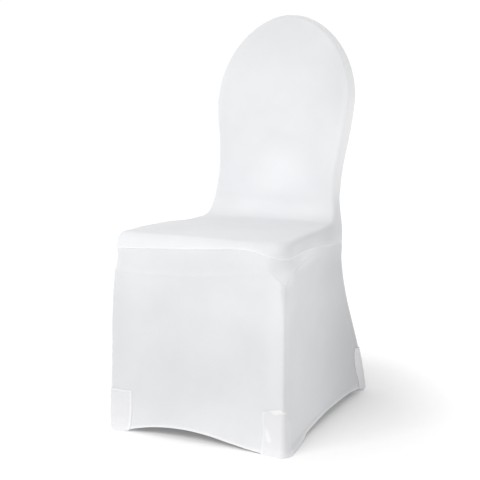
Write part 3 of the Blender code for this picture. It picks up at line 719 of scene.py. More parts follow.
def outward_normals(points, faces):
    """Outward directions of the points, a little longer where the cloth turns sharply."""
    quads = np.array([face if len(face) == 4 else face + face[-1:] for face in faces])
    a, b, c, d = (points[quads[:, k]] for k in range(4))
    flat = np.cross(c - a, d - b)
    facing, weight = unit(flat), np.sqrt(np.linalg.norm(flat, axis=1, keepdims=True))
    total = np.zeros_like(points)
    for k in range(4):
        np.add.at(total, quads[:, k], facing * weight)
    total = unit(total)
    least = np.ones(len(points))
    for k in range(4):
        np.minimum.at(least, quads[:, k], np.sum(total[quads[:, k]] * facing, axis=1))
    return total / np.clip(least, SHARPEST, 1)[:, None]


def corner_numbers(faces):
    """The numbers of all the points of some faces, in order."""
    return sorted({corner for face in faces for corner in face})


def rim_edges(faces):
    """Edges that only one face has, in that face's direction."""
    edges = [(face[k], face[(k + 1) % len(face)]) for face in faces for k in range(len(face))]
    known = set(edges)
    return [edge for edge in edges if (edge[1], edge[0]) not in known]


def away_from_rim(points, normals, faces):
    """For each point on the rim of some faces, the direction along the cloth towards its middle."""
    inward = np.zeros_like(points)
    for start, stop in rim_edges(faces):
        across = unit(np.cross(normals[start], points[stop] - points[start]))
        inward[start] += across
        inward[stop] += across
    return unit(inward)


def grid_faces(rows, columns, closed=False, first=0):
    """Faces between rows of points that are numbered one row after the other."""
    faces = []
    for row in range(rows - 1):
        for k in range(columns if closed else columns - 1):
            a, b = (first + row * columns + number for number in (k, (k + 1) % columns))
            faces.append((a, b, b + columns, a + columns))
    return faces


def in_scene(name, data):
    """A new object in the scene."""
    made = bpy.data.objects.new(name, data)
    bpy.context.scene.collection.objects.link(made)
    return made


def piece(name, points, faces, finish):
    """A mesh in the part's frame that rides with the cover."""
    mesh = bpy.data.meshes.new(name)
    mesh.from_pydata((np.array(points) + [0, -DEPTH_MIDDLE, 0]).tolist(), [], faces)
    mesh.shade_smooth()
    mesh.materials.append(finish)
    made = in_scene(name, mesh)
    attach(made, "root")
    return made


def sheet(name, outer, inner, whitening, faces, finish):
    """A closed sheet of cloth between two skins with the same faces. It keeps how much whiter it
    turns: where it doubles, and where light is painted on it.
    """
    used = corner_numbers(faces)
    place = {corner: k for k, corner in enumerate(used)}
    count = len(used)
    skin = [[place[corner] for corner in face] for face in faces]
    lining = [[corner + count for corner in face[::-1]] for face in skin]
    rim = [[stop, start, start + count, stop + count] for start, stop in rim_edges(skin)]
    made = piece(name, np.concatenate([outer[used], inner[used]]), skin + lining + rim, finish)
    made.data.set_sharp_from_angle(angle=FOLD_ANGLE)
    kept = made.data.attributes.new("whitening", "FLOAT", "POINT")
    kept.data.foreach_set("value", np.tile(whitening[used], 2).astype(np.float32))
    return made


# --- What sewing and wearing do to the cloth ------------------------------------------------

def waves(points, spacing, seed):
    """Smooth unevenness from -1 to 1 over some points, with a typical spacing in metres."""
    rng = np.random.default_rng(seed)
    total = np.zeros(len(points))
    for _ in range(7):
        way = rng.normal(size=3)
        way *= 2 * pi / spacing / np.linalg.norm(way) * rng.uniform(0.6, 1.5)
        total += np.sin(points @ way + rng.uniform(0, 2 * pi))
    return total / 4


def unevenness(points, sizes, seed):
    """Unevenness of several sizes, each given as its height and spacing."""
    return sum(height * waves(points, spacing, seed + k)
               for k, (height, spacing) in enumerate(sizes))


def near_line(points, line):
    """Distance of each point from a line of points, and how far along the line it is nearest."""
    run = run_of(line)
    dense_run = np.arange(0, run[-1], LINE_STEP)
    dense = on_line(dense_run, run, line)
    tree = KDTree(len(dense))
    for k, point in enumerate(dense):
        tree.insert(point, k)
    tree.balance()
    away, along = np.full(len(points), 1.0), np.zeros(len(points))
    low, high = dense.min(axis=0) - LINE_REACH, dense.max(axis=0) + LINE_REACH
    for k in np.flatnonzero(np.all((points > low) & (points < high), axis=1)):
        _, nearest, distance = tree.find(points[k])
        away[k], along[k] = distance, dense_run[nearest]
    return away, along


def sewn_relief(points, line, over, seed):
    """How a seam shapes the cloth beside it, and how far from it each point is."""
    away, along = near_line(points, line)
    ridge, above, under = SEAM_RIDGE
    show, reach = ALLOWANCE
    relief = ridge * bump(away, 0, between(under, above, over))
    relief += show * over * (1 - ease(reach, reach + 0.002, away))
    # the puckers' spacing and height drift along the seam
    height, spacing = PUCKER
    rng = np.random.default_rng(seed)
    phase = 2 * pi * along / spacing + 1.7 * np.sin(2 * pi * along / 0.083 + rng.uniform(0, 6))
    size = 0.6 + 0.4 * np.sin(2 * pi * along / 0.131 + rng.uniform(0, 6))
    fade = ease(0.0004, 0.0025, away) * bump(away, 0, 0.008)
    return relief + height * np.sin(phase) * size * fade, away


def doubled(away, over, share):
    """How much whiter the cloth turns by a seam: most on its ridge, less in the allowance, where
    its layers show through. The white of the ridge is partly the doubled cloth and partly a painted
    highlight.
    """
    ridge, beside = SEAM_LAYERS
    reach = ALLOWANCE[1]
    allowance = 1 - ease(reach - 0.001, reach + 0.001, away)
    return share * bump(away, 0, ridge) + beside * over * allowance


def fold_relief(points):
    """The heights of all the tension folds over some points."""
    total = np.zeros(len(points))
    for start, stop, width, height in FOLDS:
        start, stop = np.array(start), np.array(stop)
        way = stop - start
        share = (points - start) @ way / (way @ way)
        nearest = start + np.clip(share, 0, 1)[:, None] * way
        away = np.linalg.norm(points - nearest, axis=1)
        total += height * bump(away, 0, width) * np.sin(pi * np.clip(share, 0, 1)) ** 0.6
    return total


def rail_relief(skirt):
    """The seat rail shows through: the cloth is held out along its lower edge and sinks below."""
    edge = skirt[int(np.argmin(np.abs(FALLS - 1.0)))]
    x, y, below = skirt[:, :, 0], skirt[:, :, 1], edge[None, :, 2] - skirt[:, :, 2]
    relief = sum(height * bump(below, depth, width) for height, depth, width in RAIL_PRINT)
    from_corner = np.abs(np.abs(x) - np.abs(x[:, SEAMS_MEET + FRONT_CORNER])[:, None])
    at_side = 0.8 * (1 - ease(0.02, 0.14, y))
    return relief * np.where(y < SEAT_FRONT + 0.004, ease(0.004, 0.045, from_corner), at_side)


def pulled_over(points):
    """Points of the cloth, moved over to the right behind the seat, and lower where it sags."""
    x, y, z = points[..., 0], points[..., 1], points[..., 2]
    over = smooth(SWAY, "right", z) * ease(0.10, 0.19, y)
    down = SAG * bump(y, 0.085, 0.060) * ease(0.09, 0.17, -x) * ease(0.415, 0.440, z)
    down *= 1 - ease(0.455, 0.490, z)
    return points + np.stack([over, 0 * over, -down], axis=-1)


def round_feet(points):
    """Points of the cloth, with those at the foot of each leg drawn in under it."""
    moved = points.copy()
    for middle, shares, reach in FEET:
        low = np.clip(1 - points[..., 2] / reach, 0, 1)
        apart = np.array(middle) - points[..., :2]
        near = 1 - ease(*FOOT_REACH, np.linalg.norm(apart, axis=-1))
        step = apart * shares * ((1 - np.sqrt(1 - low ** 2)) * near)[..., None]
        if shares[0] < 0:
            step[..., 0] *= ease(*FOOT_CORNER, points[..., 1])
        moved[..., :2] += step
    return moved


def cover_surface():
    """The whole cloth, its seam, and the rows of the skirt and the rear, as points and numbers."""
    surface = Surface()
    seam = seam_loop()
    skirt = skirt_rows(seam)

    flat = both_sides(SEAT_ROLL, CORNER_ON_TOP, BACK_ROLL)
    over = leaned(flat)
    top = lift(over, crown(over))
    square, lean = smooth(EDGE, "square", flat[:, 1:]), smooth(EDGE, "lean", flat[:, 1:])
    rings = rolled(seam, top, upward(flat), SEAT_RINGS, square, lean)
    surface.grid("inside_back_and_seat", rings, closed=True)
    front = part_of(flat, -FRONT_CORNER, FRONT_CORNER)
    right = part_of(flat, FRONT_CORNER, TOP_CORNER)
    left = part_of(flat, LOOP - TOP_CORNER, LOOP - FRONT_CORNER)[::-1]
    dome = part_of(flat, TOP_CORNER, LOOP - TOP_CORNER)[::-1]
    rows = [leaned(row) for row in fill(front, right, dome, left)]
    surface.grid("inside_back_and_seat", [lift(row, crown(row)) for row in rows])

    skirt_at = np.array(surface.grid("skirt", skirt[::-1])[::-1])

    edges = rear_edges(seam)
    over_top = slice(SEAMS_MEET, LOOP - SEAMS_MEET + 1)
    rings = rolled(seam[over_top], edges[over_top], BEHIND, REAR_RINGS, ROLL_POWER)
    surface.grid("outside_back", rings, turned=True)
    rear = rear_low_rows(edges, skirt)
    rear_at = np.array(surface.grid("outside_back", rear[::-1], turned=True)[::-1])
    bottom = rear[0][REAR_ROLL_RINGS:-REAR_ROLL_RINGS, [0, 2]]
    plane = edges[:, [0, 2]]
    right = part_of(plane, SEAMS_MEET, TOP_CORNER)
    dome = part_of(plane, TOP_CORNER, LOOP - TOP_CORNER)[::-1]
    rows = []
    for row in fill(bottom, right, dome, mirrored(right)):
        x, z = row[:, 0], row[:, 1]
        rows.append(np.stack([x, rear_y(x, z), z], axis=1))
    surface.grid("outside_back", rows, turned=True)
    surface.points, seam, skirt, rear = (
        round_feet(pulled_over(np.array(part))) for part in (surface.points, seam, skirt, rear))
    return surface, seam, (skirt, skirt_at), (rear, rear_at)


def spread(values, numbers, count):
    """Values at some numbered points, and 0 at the others."""
    out = np.zeros(count)
    out[numbers] = values
    return out


def shape_cloth(surface, seam, skirt_grid, rear_grid):
    """The worn surface, with its seams, hems, rail print and folds, and how much whiter it turns:
    where its layers double, and where light is painted by the back's edge and on the seam's ridge.
    """
    plain, count = surface.points, len(surface.points)
    skirt, skirt_at = skirt_grid
    on_top, behind = (spread(1.0, corner_numbers(surface.panels[name]), count)
                      for name in ("inside_back_and_seat", "outside_back"))

    relief, away = sewn_relief(plain, np.concatenate([seam, seam[:1]]), on_top, seed=3)
    shows = smooth(SEAM_SHOWS, "share", plain[:, 1])
    relief *= between(SEAM_SINKS, 1.0, shows)
    # the seam's white ridge, strongest in front: partly doubled cloth, partly a painted highlight
    whitening = doubled(away, on_top, shows)
    # painted light: along the rolled edge of the upper back, within about 2 cm of its seam, the
    # cloth is made whiter as if it lay double, which lightens the shade on the back's sides
    beside = on_top * (1 - ease(0.019, 0.030, away)) * ease(0.46, 0.54, plain[:, 2])
    whitening = np.maximum(whitening, beside)
    below = ease(0.003, 0.012, MEETING_Z - plain[:, 2])
    for side, seed in ((0, 5), (-1, 7)):
        rise, away = sewn_relief(plain, skirt[:, side], behind, seed)
        relief = np.where(away < SEAM_REACH, np.maximum(relief, rise * below), relief)
        whitening = np.maximum(whitening, doubled(away, behind, 0.5) * below)

    relief += spread(rail_relief(skirt), skirt_at, count)
    relief += fold_relief(plain)

    thick, tall = HEM_BAND
    dent, narrow = STITCH_DENT
    for rows, numbers in (skirt_grid, rear_grid):
        up = np.linalg.norm(rows - rows[-1][None], axis=2)
        band = thick * (1 - ease(tall - 0.0004, tall + 0.0010, up))
        for line in STITCH_LINES:
            band -= dent * bump(up, line, narrow)
        relief += spread(band, numbers, count)
        turned = bump(up, 0, HEM_EDGE) + 0.08 * (1 - ease(tall, tall + 0.0015, up))
        whitening = np.maximum(whitening, spread(turned, numbers, count))

    relief += unevenness(plain, CLOTH_WAVES, seed=11)
    worn = plain + outward_normals(plain, surface.faces()) * relief[:, None]
    return worn, np.clip(whitening, 0, 1)


# --- Foot pockets ---------------------------------------------------------------------------

def pocket_columns(skirt_row, rear_row, name, behind):
    """The numbers under one pocket in a row of the cloth, from its one side edge to the other."""
    round_front = slice(SEAMS_MEET + FRONT_POCKET_COLUMN,
                        SEAMS_MEET + SIDE_START + SIDE_POCKET_COLUMN + 1)
    if name == "front_right":
        return skirt_row[round_front]
    if name == "front_left":
        return skirt_row[::-1][round_front][::-1]
    at_side = slice(SEAMS_MEET + SIDE_START + REAR_POCKET_COLUMN, None)
    if name == "rear_right":
        return np.concatenate([skirt_row[at_side], rear_row[::-1][1:behind + 1]])
    return np.concatenate([rear_row[behind:0:-1], skirt_row[::-1][at_side][::-1]])


# Where a pocket's columns and rows stand, closer together by its edges, its sole and its top
POCKET_ACROSS = np.concatenate([
    np.linspace(0, 0.12, 9), np.linspace(0.12, 0.88, 56)[1:], np.linspace(0.88, 1, 9)[1:]])
POCKET_UP = np.concatenate([
    np.linspace(0, 0.20, 12), np.linspace(0.20, 0.80, 20)[1:], np.linspace(0.80, 1, 20)[1:]])


def sampled(grid, row_at, column_at):
    """Values of a grid between its rows and columns."""
    row = np.clip(row_at, 0, grid.shape[0] - 1.000001)
    column = np.clip(column_at, 0, grid.shape[1] - 1.000001)
    r, c = row.astype(int), column.astype(int)
    down, over = (row - r)[..., None], (column - c)[..., None]
    return between(between(grid[r, c], grid[r, c + 1], over),
                   between(grid[r + 1, c], grid[r + 1, c + 1], over), down)


def pocket_cut(name, top, base):
    """Where the pocket's own rows and columns fall among those of the cloth under it."""
    cut = POCKETS[name]
    from_face = POCKET_ACROSS if name in FACE_FIRST else 1 - POCKET_ACROSS
    run = run_of(base[len(base) // 3])      # its width, measured low down
    edges = [smooth(cut, edge, POCKET_UP, by="up")[:, None] for edge in ("face_edge", "side_edge")]
    first, last = edges if name in FACE_FIRST else edges[::-1]
    column = between(first, run[-1] - last, POCKET_ACROSS[None])
    column_at = np.interp(column, run, np.arange(len(run)))
    highest = 2 - top + smooth(cut, "rise", from_face) / SKIRT_LENGTH
    falls = 2 - POCKET_UP[:, None] * highest[None]
    row_at = np.interp(-falls, -FALLS[::-1], np.arange(len(FALLS)))
    return row_at, column_at, smooth(cut, "fold", from_face)


def slack_cloth():
    """Where a bit of slack cloth has folded over, and hangs past the line it folded on."""
    across, up = POCKET_ACROSS[None], POCKET_UP[:, None]
    # the line leans from 0.24 across and 0.30 up to 0.07 across and 0.66 up
    beyond = (across - 0.07 - 0.17 * (0.66 - up) / 0.36) / 0.05
    lap = ease(0.27, 0.32, up) * (1 - ease(0.46, 0.72, up)) * ease(0.01, 0.05, across)
    return lap * (1 - ease(0.6, 1.2, beyond)) * ease(-3.6, 0.6, beyond)


def pocket_shape(name, base, folded, seed):
    """How far a pocket lies off the cloth, how thick it is, and where its layers lie double."""
    down = np.linalg.norm(base - base[-1][None], axis=2)
    run = np.cumsum(np.linalg.norm(np.diff(base, axis=1, prepend=base[:, :1]), axis=2), axis=1)
    edge = np.minimum(run, run[:, -1:] - run)
    side_hem = 1 - ease(*POCKET_HEM, edge)

    # the top is folded over and stands a little off the cloth, the side edges lie flat
    most, reach = POCKET_STAND
    stand = most * np.exp(-down / reach) * ease(0.0, 0.012, edge)
    fold = POCKET_FOLD * (1 - ease(folded, folded + 0.0015, down)) * ease(0, 0.001, down)
    side_fold = POCKET_SIDE_FOLD * side_hem * ease(0, 0.001, edge)
    squashed = (base * [1, 1, POCKET_WRINKLES_LIE]).reshape(-1, 3)
    wrinkles = unevenness(squashed, POCKET_WAVES, seed).reshape(edge.shape)
    wrinkles = wrinkles * ease(0.0, 0.010, edge) * ease(0.002, 0.02, down)
    wrinkles = np.maximum(wrinkles, -POCKET_DENT) * ease(0.0, 0.020, base[:, :, 2])
    slack = slack_cloth() if name == CREASED else 0.0
    wrinkles = wrinkles + SLACK * slack
    off = POCKET_GAP + stand + np.maximum(wrinkles, 0) * 0.7
    thick = np.maximum(POCKET_CLOTH + fold + side_fold + wrinkles * 0.3, POCKET_THINNEST)

    hem = bump(edge, 0, 0.0022) + 0.45 * side_hem
    shows = POCKETS[name]["hem"][::1 if name in FACE_FIRST else -1]
    hem *= between(*shows, ease(0.4, 0.6, POCKET_ACROSS))
    whitening = np.clip(np.maximum(1 - ease(folded * 0.6, folded, down), hem), 0, 1)
    return off, thick, np.maximum(whitening, slack)


def inner_wall(base, out):
    """A row of the wall behind a foot, between a pocket row's ends, and its directions out."""
    clear = CLOTH + INNER_WALL_GAP
    first, last = base[0] - out[0] * clear, base[-1] - out[-1] * clear
    into = unit(-out[0] * np.array([1, 1, 0]))
    wall = np.array(rolled(first, last, into, np.linspace(0, pi / 2, len(base)), INNER_WALL_POWER))
    run = np.gradient(wall, axis=0)
    away = unit(np.stack([run[:, 1], -run[:, 0], 0 * run[:, 0]], axis=1))
    return wall, away * np.sign(np.sum(away * (wall - base)))


def pocket(name, points, normals, under_at, top, finish, seed):
    """A foot pocket laid over rows of the cloth's points, listed upward from the hem."""
    under = points[under_at]
    row_at, column_at, folded = pocket_cut(name, top, under)
    base = sampled(under, row_at, column_at)
    out = unit(sampled(normals[under_at], row_at, column_at))
    count, columns = base.shape[:2]
    off, thick, whitening = pocket_shape(name, base, folded, seed)
    inside = base + out * off[:, :, None]
    outside = inside + out * thick[:, :, None]

    # the wall behind the foot goes below the hem's row, and the sole between the two
    outer, inner = list(outside), list(inside)
    for base_row, out_row in zip(base, out):
        if base_row[:, 2].mean() < INNER_WALL_HEIGHT:
            wall, away = inner_wall(base_row, out_row)
            outer.insert(0, wall + away * SOLE_CLOTH)
            inner.insert(0, wall)
    hem_at = len(outer) - count
    floor_level = np.maximum(base[0, :, 2] - HEM_LOW, OFF_FLOOR)
    for skin, level_at in ((outer, floor_level), (inner, floor_level + SOLE_CLOTH)):
        for row in skin[hem_at - 1:hem_at + 1]:
            row[:, 2] = level_at
        skin[hem_at:hem_at] = [between(*skin[hem_at - 1:hem_at + 1], t)
                               for t in np.linspace(0, 1, SOLE_ROWS + 2)[1:-1]]
    hidden = np.zeros((len(outer) - count, columns))
    made = sheet(name + "_foot_pocket", np.concatenate(outer), np.concatenate(inner),
                 np.concatenate([hidden, whitening]).ravel(), grid_faces(len(outer), columns), finish)
    return made, line_at(outside, out, folded - POCKET_STITCHES, POCKET_STITCH_ENDS,
                         columns - POCKET_STITCH_ENDS)


# --- Stitches -------------------------------------------------------------------------------

def stitch_row(path, out):
    """Small stitches, end to end along a path of points, lying against the cloth. Each is a low
    thread: an end that dives in, a full middle, an end that dives in."""
    run = run_of(path)
    points, faces = [], []
    length, radius = STITCH
    for start in np.arange(STITCH_PITCH / 2, run[-1] - STITCH_PITCH, STITCH_PITCH):
        at = np.array([start, start + length * 0.5, start + length])
        where, up = on_line(at, run, path), on_line(at, run, out)[1]
        way = unit(where[2] - where[0])
        side = unit(np.cross(up, way))
        first = len(points)
        for share, size in STITCH_RINGS:
            centre = where[0] + way * length * share + up * radius * (1.1 * size - 0.7)
            for a in 2 * pi * np.arange(STITCH_SIDES) / STITCH_SIDES:
                points.append(centre + (side * cos(a) * 1.25 + up * sin(a)) * radius * size)
        faces += grid_faces(len(STITCH_RINGS), STITCH_SIDES, closed=True, first=first)
        faces.append(tuple(range(first, first + STITCH_SIDES))[::-1])
        faces.append(tuple(range(len(points) - STITCH_SIDES, len(points))))
    return points, faces


def stitches(name, paths, finish):
    """All the stitches of one panel as a single piece."""
    points, faces = [], []
    for path, out in paths:
        more, round_them = stitch_row(path, out)
        faces += [tuple(k + len(points) for k in face) for face in round_them]
        points += more
    made = piece(name, np.array(points), faces, finish)
    return made


def line_at(rows, out, distance, start, stop):
    """The path at a distance from the last row, between two columns, and the directions out."""
    distance = distance + 0 * rows[-1, :, 0]
    path, away = [], []
    for k in range(start, stop):
        run = run_of(rows[::-1, k])
        path.append(on_line(distance[k], run, rows[::-1, k]))
        away.append(on_line(distance[k], run, out[::-1, k]))
    return np.array(path), unit(np.array(away))


# --- Materials ------------------------------------------------------------------------------

def linear(colour):
    """An sRGB hex colour as linear red, green and blue, and an alpha of 1."""
    parts = [int(colour[k:k + 2], 16) / 255 for k in (1, 3, 5)]
    return tuple(c / 12.92 if c <= 0.04045 else ((c + 0.055) / 1.055) ** 2.4 for c in parts) + (1,)


class Nodes:
    """The nodes of one material, or of the world, cleared and built up anew."""

    def __init__(self, data):
        data.use_nodes = True
        self.tree = data.node_tree
        self.tree.nodes.clear()

    def add(self, kind, settings=None, **links):
        """A node with its settings and with values or links on its inputs, named or as i0, i1."""
        made = self.tree.nodes.new("ShaderNode" + kind)
        for name, value in (settings or {}).items():
            setattr(made, name, value)
        for name, value in links.items():
            numbered = name[0] == "i" and name[1:].isdigit()
            socket = made.inputs[int(name[1:]) if numbered else name.replace("_", " ")]
            if isinstance(value, bpy.types.NodeSocket):
                self.tree.links.new(value, socket)
            else:
                socket.default_value = value
        return made

    def maths(self, operation, *values, kind="Math", result=0, **named):
        """The result of an operation on numbers."""
        links = {"i%d" % k: value for k, value in enumerate(values)}
        return self.add(kind, {"operation": operation}, **links, **named).outputs[result]

    def vectors(self, operation, *values, result="Vector", **named):
        """The result of an operation on vectors."""
        return self.maths(operation, *values, kind="VectorMath", result=result, **named)

    def place(self):
        """Where a point of the object lies."""
        return self.add("TexCoord").outputs["Object"]

    def noise(self, place, scale, detail, roughness=0.5):
        """Cloudy noise from 0 to 1."""
        return self.add("TexNoise", Vector=place, Scale=scale, Detail=detail,
                        Roughness=roughness).outputs["Fac"]

    def eased(self, value, low, high, first=0.0, last=1.0):
        """From first at low to last at high, without a corner."""
        return self.add("MapRange", {"interpolation_type": "SMOOTHSTEP"}, Value=value, From_Min=low,
                        From_Max=high, To_Min=first, To_Max=last).outputs[0]

    def blend(self, share, first, second):
        """A colour between two."""
        return self.add("Mix", {"data_type": "RGBA"}, Factor=share, i6=first, i7=second).outputs[2]

    def finish(self, shader, kind="OutputMaterial"):
        """Lets a shader make the surface."""
        self.tree.links.new(shader.outputs[0], self.add(kind).inputs["Surface"])


WALE = 0.0016       # spacing of the knit's ribs; the real 0.8 mm is too fine to show, so twice that
COURSE = 0.0012     # spacing of its rows; the real 0.6 mm, doubled for the same reason
STEEP = 0.7         # a face's normal past which the knit is laid out from that side


def stretch_knit(name, light, deep, roughness, relief, painted_patches):
    """White polyester-elastane jersey: a matt face with a faint silky sheen, knitted in fine ribs
    and pulled tight, so that only small changes of tone show besides the shape. Over its colour lie
    soft patches of painted light and shade."""
    material = bpy.data.materials.new(name)
    nodes = Nodes(material)
    maths, place = nodes.maths, nodes.place()
    apart = nodes.add("SeparateXYZ", Vector=place).outputs
    normal = nodes.add("NewGeometry").outputs["True Normal"]
    facing = nodes.add("SeparateXYZ", Vector=normal).outputs

    def ribs(across, along):
        """Height of the jersey's loops, from 0 to 1, over two directions in the cloth."""
        wale = maths("ABSOLUTE", maths("SINE", maths("MULTIPLY", across, pi / WALE)))
        lean = maths("MULTIPLY", wale, 1.4)
        row = maths("SINE", maths("ADD", maths("MULTIPLY", along, 2 * pi / COURSE), lean))
        return maths("ADD", maths("MULTIPLY", wale, 0.7), maths("MULTIPLY", row, 0.3))

    loops = ribs(apart["X"], apart["Z"])
    for axis, across, along in (("X", "Y", "Z"), ("Z", "X", "Y")):
        turned = maths("GREATER_THAN", maths("ABSOLUTE", facing[axis]), STEEP)
        other = ribs(apart[across], apart[along])
        loops = nodes.add("Mix", Factor=turned, A=loops, B=other).outputs[0]

    # the cloth isn't dyed or stretched quite evenly: broad soft clouds and a little fuzz
    clouds = nodes.noise(place, 7.0, 3.0, 0.55)
    fuzz = nodes.noise(place, 420.0, 2.0, 0.6)
    tone = maths("ADD", maths("MULTIPLY", clouds, 0.8), maths("MULTIPLY", fuzz, 0.2))
    tone = maths("ADD", tone, maths("MULTIPLY", loops, 0.10))
    colour = nodes.blend(nodes.eased(tone, 0.28, 0.82), linear(deep), linear(light))
    # painted light and shade: each patch makes the colour lighter or darker round its middle
    for middle, radii, amount in painted_patches:
        away = nodes.vectors("DIVIDE", nodes.vectors("SUBTRACT", place, middle), radii)
        away = nodes.vectors("LENGTH", away, result="Value")
        painted_gain = nodes.eased(away, 0.0, 1.0, 1.0 + amount, 1.0)
        colour = nodes.vectors("SCALE", colour, Scale=painted_gain)
    # where it is folded or sewn, several layers lie together and it turns whiter; along the back's
    # rolled edge this whitening is painted light, and on the seam's ridge partly a painted
    # highlight
    whitening = nodes.add("Attribute", {"attribute_name": "whitening"}).outputs["Fac"]
    colour = nodes.blend(maths("MULTIPLY", whitening, 0.85), colour, linear("#fcfcfd"))
    height = maths("ADD", loops, maths("MULTIPLY", fuzz, 0.5))
    dent = nodes.add("Bump", Strength=relief, Distance=0.0004, Height=height).outputs[0]
    nodes.finish(nodes.add(
        "BsdfPrincipled", Base_Color=colour, Roughness=roughness, IOR=1.45, Normal=dent,
        Specular_IOR_Level=0.30, Sheen_Weight=0.12, Sheen_Roughness=0.45, Sheen_Tint=(1, 1, 1, 1)))
    return material


def polyester_thread(name, colour):
    """White spun polyester sewing thread: brighter and a little glossier than the knit."""
    material = bpy.data.materials.new(name)
    nodes = Nodes(material)
    shade = nodes.blend(nodes.noise(nodes.place(), 900.0, 1.0), linear("#e4e4e6"), linear(colour))
    nodes.finish(nodes.add("BsdfPrincipled", Base_Color=shade, Roughness=0.48, IOR=1.45))
    return material


def studio_floor(name):
    """Plain white floor that fades out before its edge, so that no line shows behind the cover."""
    material = bpy.data.materials.new(name)
    nodes = Nodes(material)
    fade = nodes.eased(nodes.vectors("LENGTH", nodes.place(), result="Value"), 0.30, 0.80)
    white = nodes.add("BsdfPrincipled", Base_Color=linear("#f9f9f9"), Roughness=0.9,
                      Emission_Color=(1, 1, 1, 1), Emission_Strength=0.12)
    clear = nodes.add("BsdfTransparent")
    nodes.finish(nodes.add("MixShader", Fac=fade, i1=white.outputs[0], i2=clear.outputs[0]))
    return material


def on_both_sides(middle, radii, amount):
    """A patch of tone on the right and the same on the left."""
    return (middle, radii, amount), (mirrored(np.array(middle)).tolist(), radii, amount)


# Painted light and shade: soft patches of lighter or darker tone on the cover, with the middle,
# radii and strength of each
PAINTED_LIGHT_ON_PADDED_KNIT = [
    ((0.02, 0.15, 0.555), (0.110, 0.10, 0.090), 0.090),    # small of the back
    ((0.00, 0.16, 0.600), (0.260, 0.20, 0.280), 0.055),    # lower half of the back
    ((0.00, 0.27, 0.960), (0.300, 0.20, 0.200), -0.080),   # top of the back
    ((0.16, 0.23, 0.800), (0.110, 0.20, 0.150), -0.045),   # its right shoulder
    ((0.00, -0.262, 0.424), (0.300, 0.050, 0.030), 0.060),   # front edge of the cushion
    ((-0.16, -0.262, 0.428), (0.130, 0.050, 0.030), 0.035),  # most on its left
    ((0.02, 0.080, 0.450), (0.200, 0.080, 0.050), -0.015),   # rear of the seat
    ((0.15, 0.085, 0.455), (0.110, 0.080, 0.040), -0.060),   # most on its right
    ((0.02, 0.125, 0.482), (0.240, 0.060, 0.030), -0.022),   # foot of the back
    ((0.20, 0.020, 0.425), (0.045, 0.240, 0.045), -0.060),   # right side of the cushion
    ((0.20, 0.080, 0.415), (0.050, 0.150, 0.050), -0.130),   # most towards its rear
    ((-0.20, 0.020, 0.425), (0.045, 0.240, 0.045), -0.070),  # left side of the cushion
    ((0.160, 0.170, 0.600), (0.075, 0.100, 0.120), 0.045),   # right side of the back's lower half
    ((0.185, 0.200, 0.700), (0.040, 0.080, 0.400), 0.060),   # sides of the back
    ((-0.185, 0.200, 0.700), (0.040, 0.080, 0.400), 0.050),
]
# painted light and shade on the skirt and the outside back
PAINTED_LIGHT_ON_SPANNING_KNIT = [
    ((-0.02, -0.270, 0.130), (0.360, 0.180, 0.260), -0.032),    # lower front
    ((-0.21, -0.255, 0.260), (0.075, 0.150, 0.300), -0.056),    # beside the front left leg
    *on_both_sides((0.21, 0.290, 0.140), (0.200, 0.400, 0.400), -0.275),    # rear of the sides
    *on_both_sides((0.20, 0.050, 0.360), (0.080, 0.200, 0.100), -0.110),    # under the seat's rear
    *on_both_sides((0.20, -0.110, 0.410), (0.060, 0.135, 0.045), 0.110),    # rail at the sides
    ((0.21, -0.232, 0.378), (0.040, 0.050, 0.035), 0.130),      # round its front right end
    *on_both_sides((0.21, -0.190, 0.200), (0.040, 0.110, 0.200), 0.020),    # beside the front legs
    ((0.09, -0.260, 0.300), (0.170, 0.060, 0.060), 0.045),      # under the seat rail, in front
    ((0.185, -0.262, 0.200), (0.032, 0.060, 0.300), 0.030),     # over the front right leg
    ((0.00, -0.262, 0.388), (0.400, 0.060, 0.032), -0.015),     # in front of the seat rail
]
# painted shade low on the rear feet
PAINTED_SHADE_ON_POCKETS = on_both_sides((0.205, 0.265, 0.020), (0.060, 0.100, 0.110), -0.110)    # rear feet, low

# each knit carries its own patches of painted light and shade
padded_knit_painted_light = stretch_knit("white_knit_over_padding_painted_light", "#eeeff1", "#e8e9eb", 0.62, 0.35, PAINTED_LIGHT_ON_PADDED_KNIT)
spanning_knit_painted_light = stretch_knit("white_knit_spanning_air_painted_light", "#eeeff1", "#e7e8ea", 0.62, 0.35, PAINTED_LIGHT_ON_SPANNING_KNIT)
pocket_knit_painted_shade = stretch_knit("doubled_white_knit_painted_shade", "#f1f1f3", "#ebebed", 0.66, 0.45, PAINTED_SHADE_ON_POCKETS)
thread = polyester_thread("white_polyester_thread", "#f4f4f5")


# --- Sewing the cover together --------------------------------------------------------------

surface, seam, (skirt, skirt_at), (rear, rear_at) = cover_surface()
worn, whitening = shape_cloth(surface, seam, (skirt, skirt_at), (rear, rear_at))
worn_normals = outward_normals(worn, surface.faces())

# How many columns of the rear panel its pockets cover from each end, with the rolled edge's
face_x = rear[-1, REAR_ROLL_RINGS:, 0]
behind = REAR_ROLL_RINGS + int(np.argmin(np.abs(face_x - face_x[0] - REAR_POCKET_REACH)))

# Panels: the size that each is cut to is what it measures when worn, less its stretch
PANELS = {
    "inside_back_and_seat": ("seat_and_inside_back_panel", padded_knit_painted_light, 0.42, 1.06, 0.32),
    "outside_back": ("outside_back_panel", spanning_knit_painted_light, 0.44, 0.95, 0.30),
    "skirt": ("skirt_panel", spanning_knit_painted_light, 1.26, 0.39, 0.46),
}
for name, faces in surface.panels.items():
    sewn, knit, width, length, area = PANELS[name]
    inward = away_from_rim(worn, worn_normals, faces)
    outer = worn + inward * SEAM_GAP / 2
    made = sheet(sewn, outer, outer - worn_normals * CLOTH, whitening, faces, knit)
    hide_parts(name)

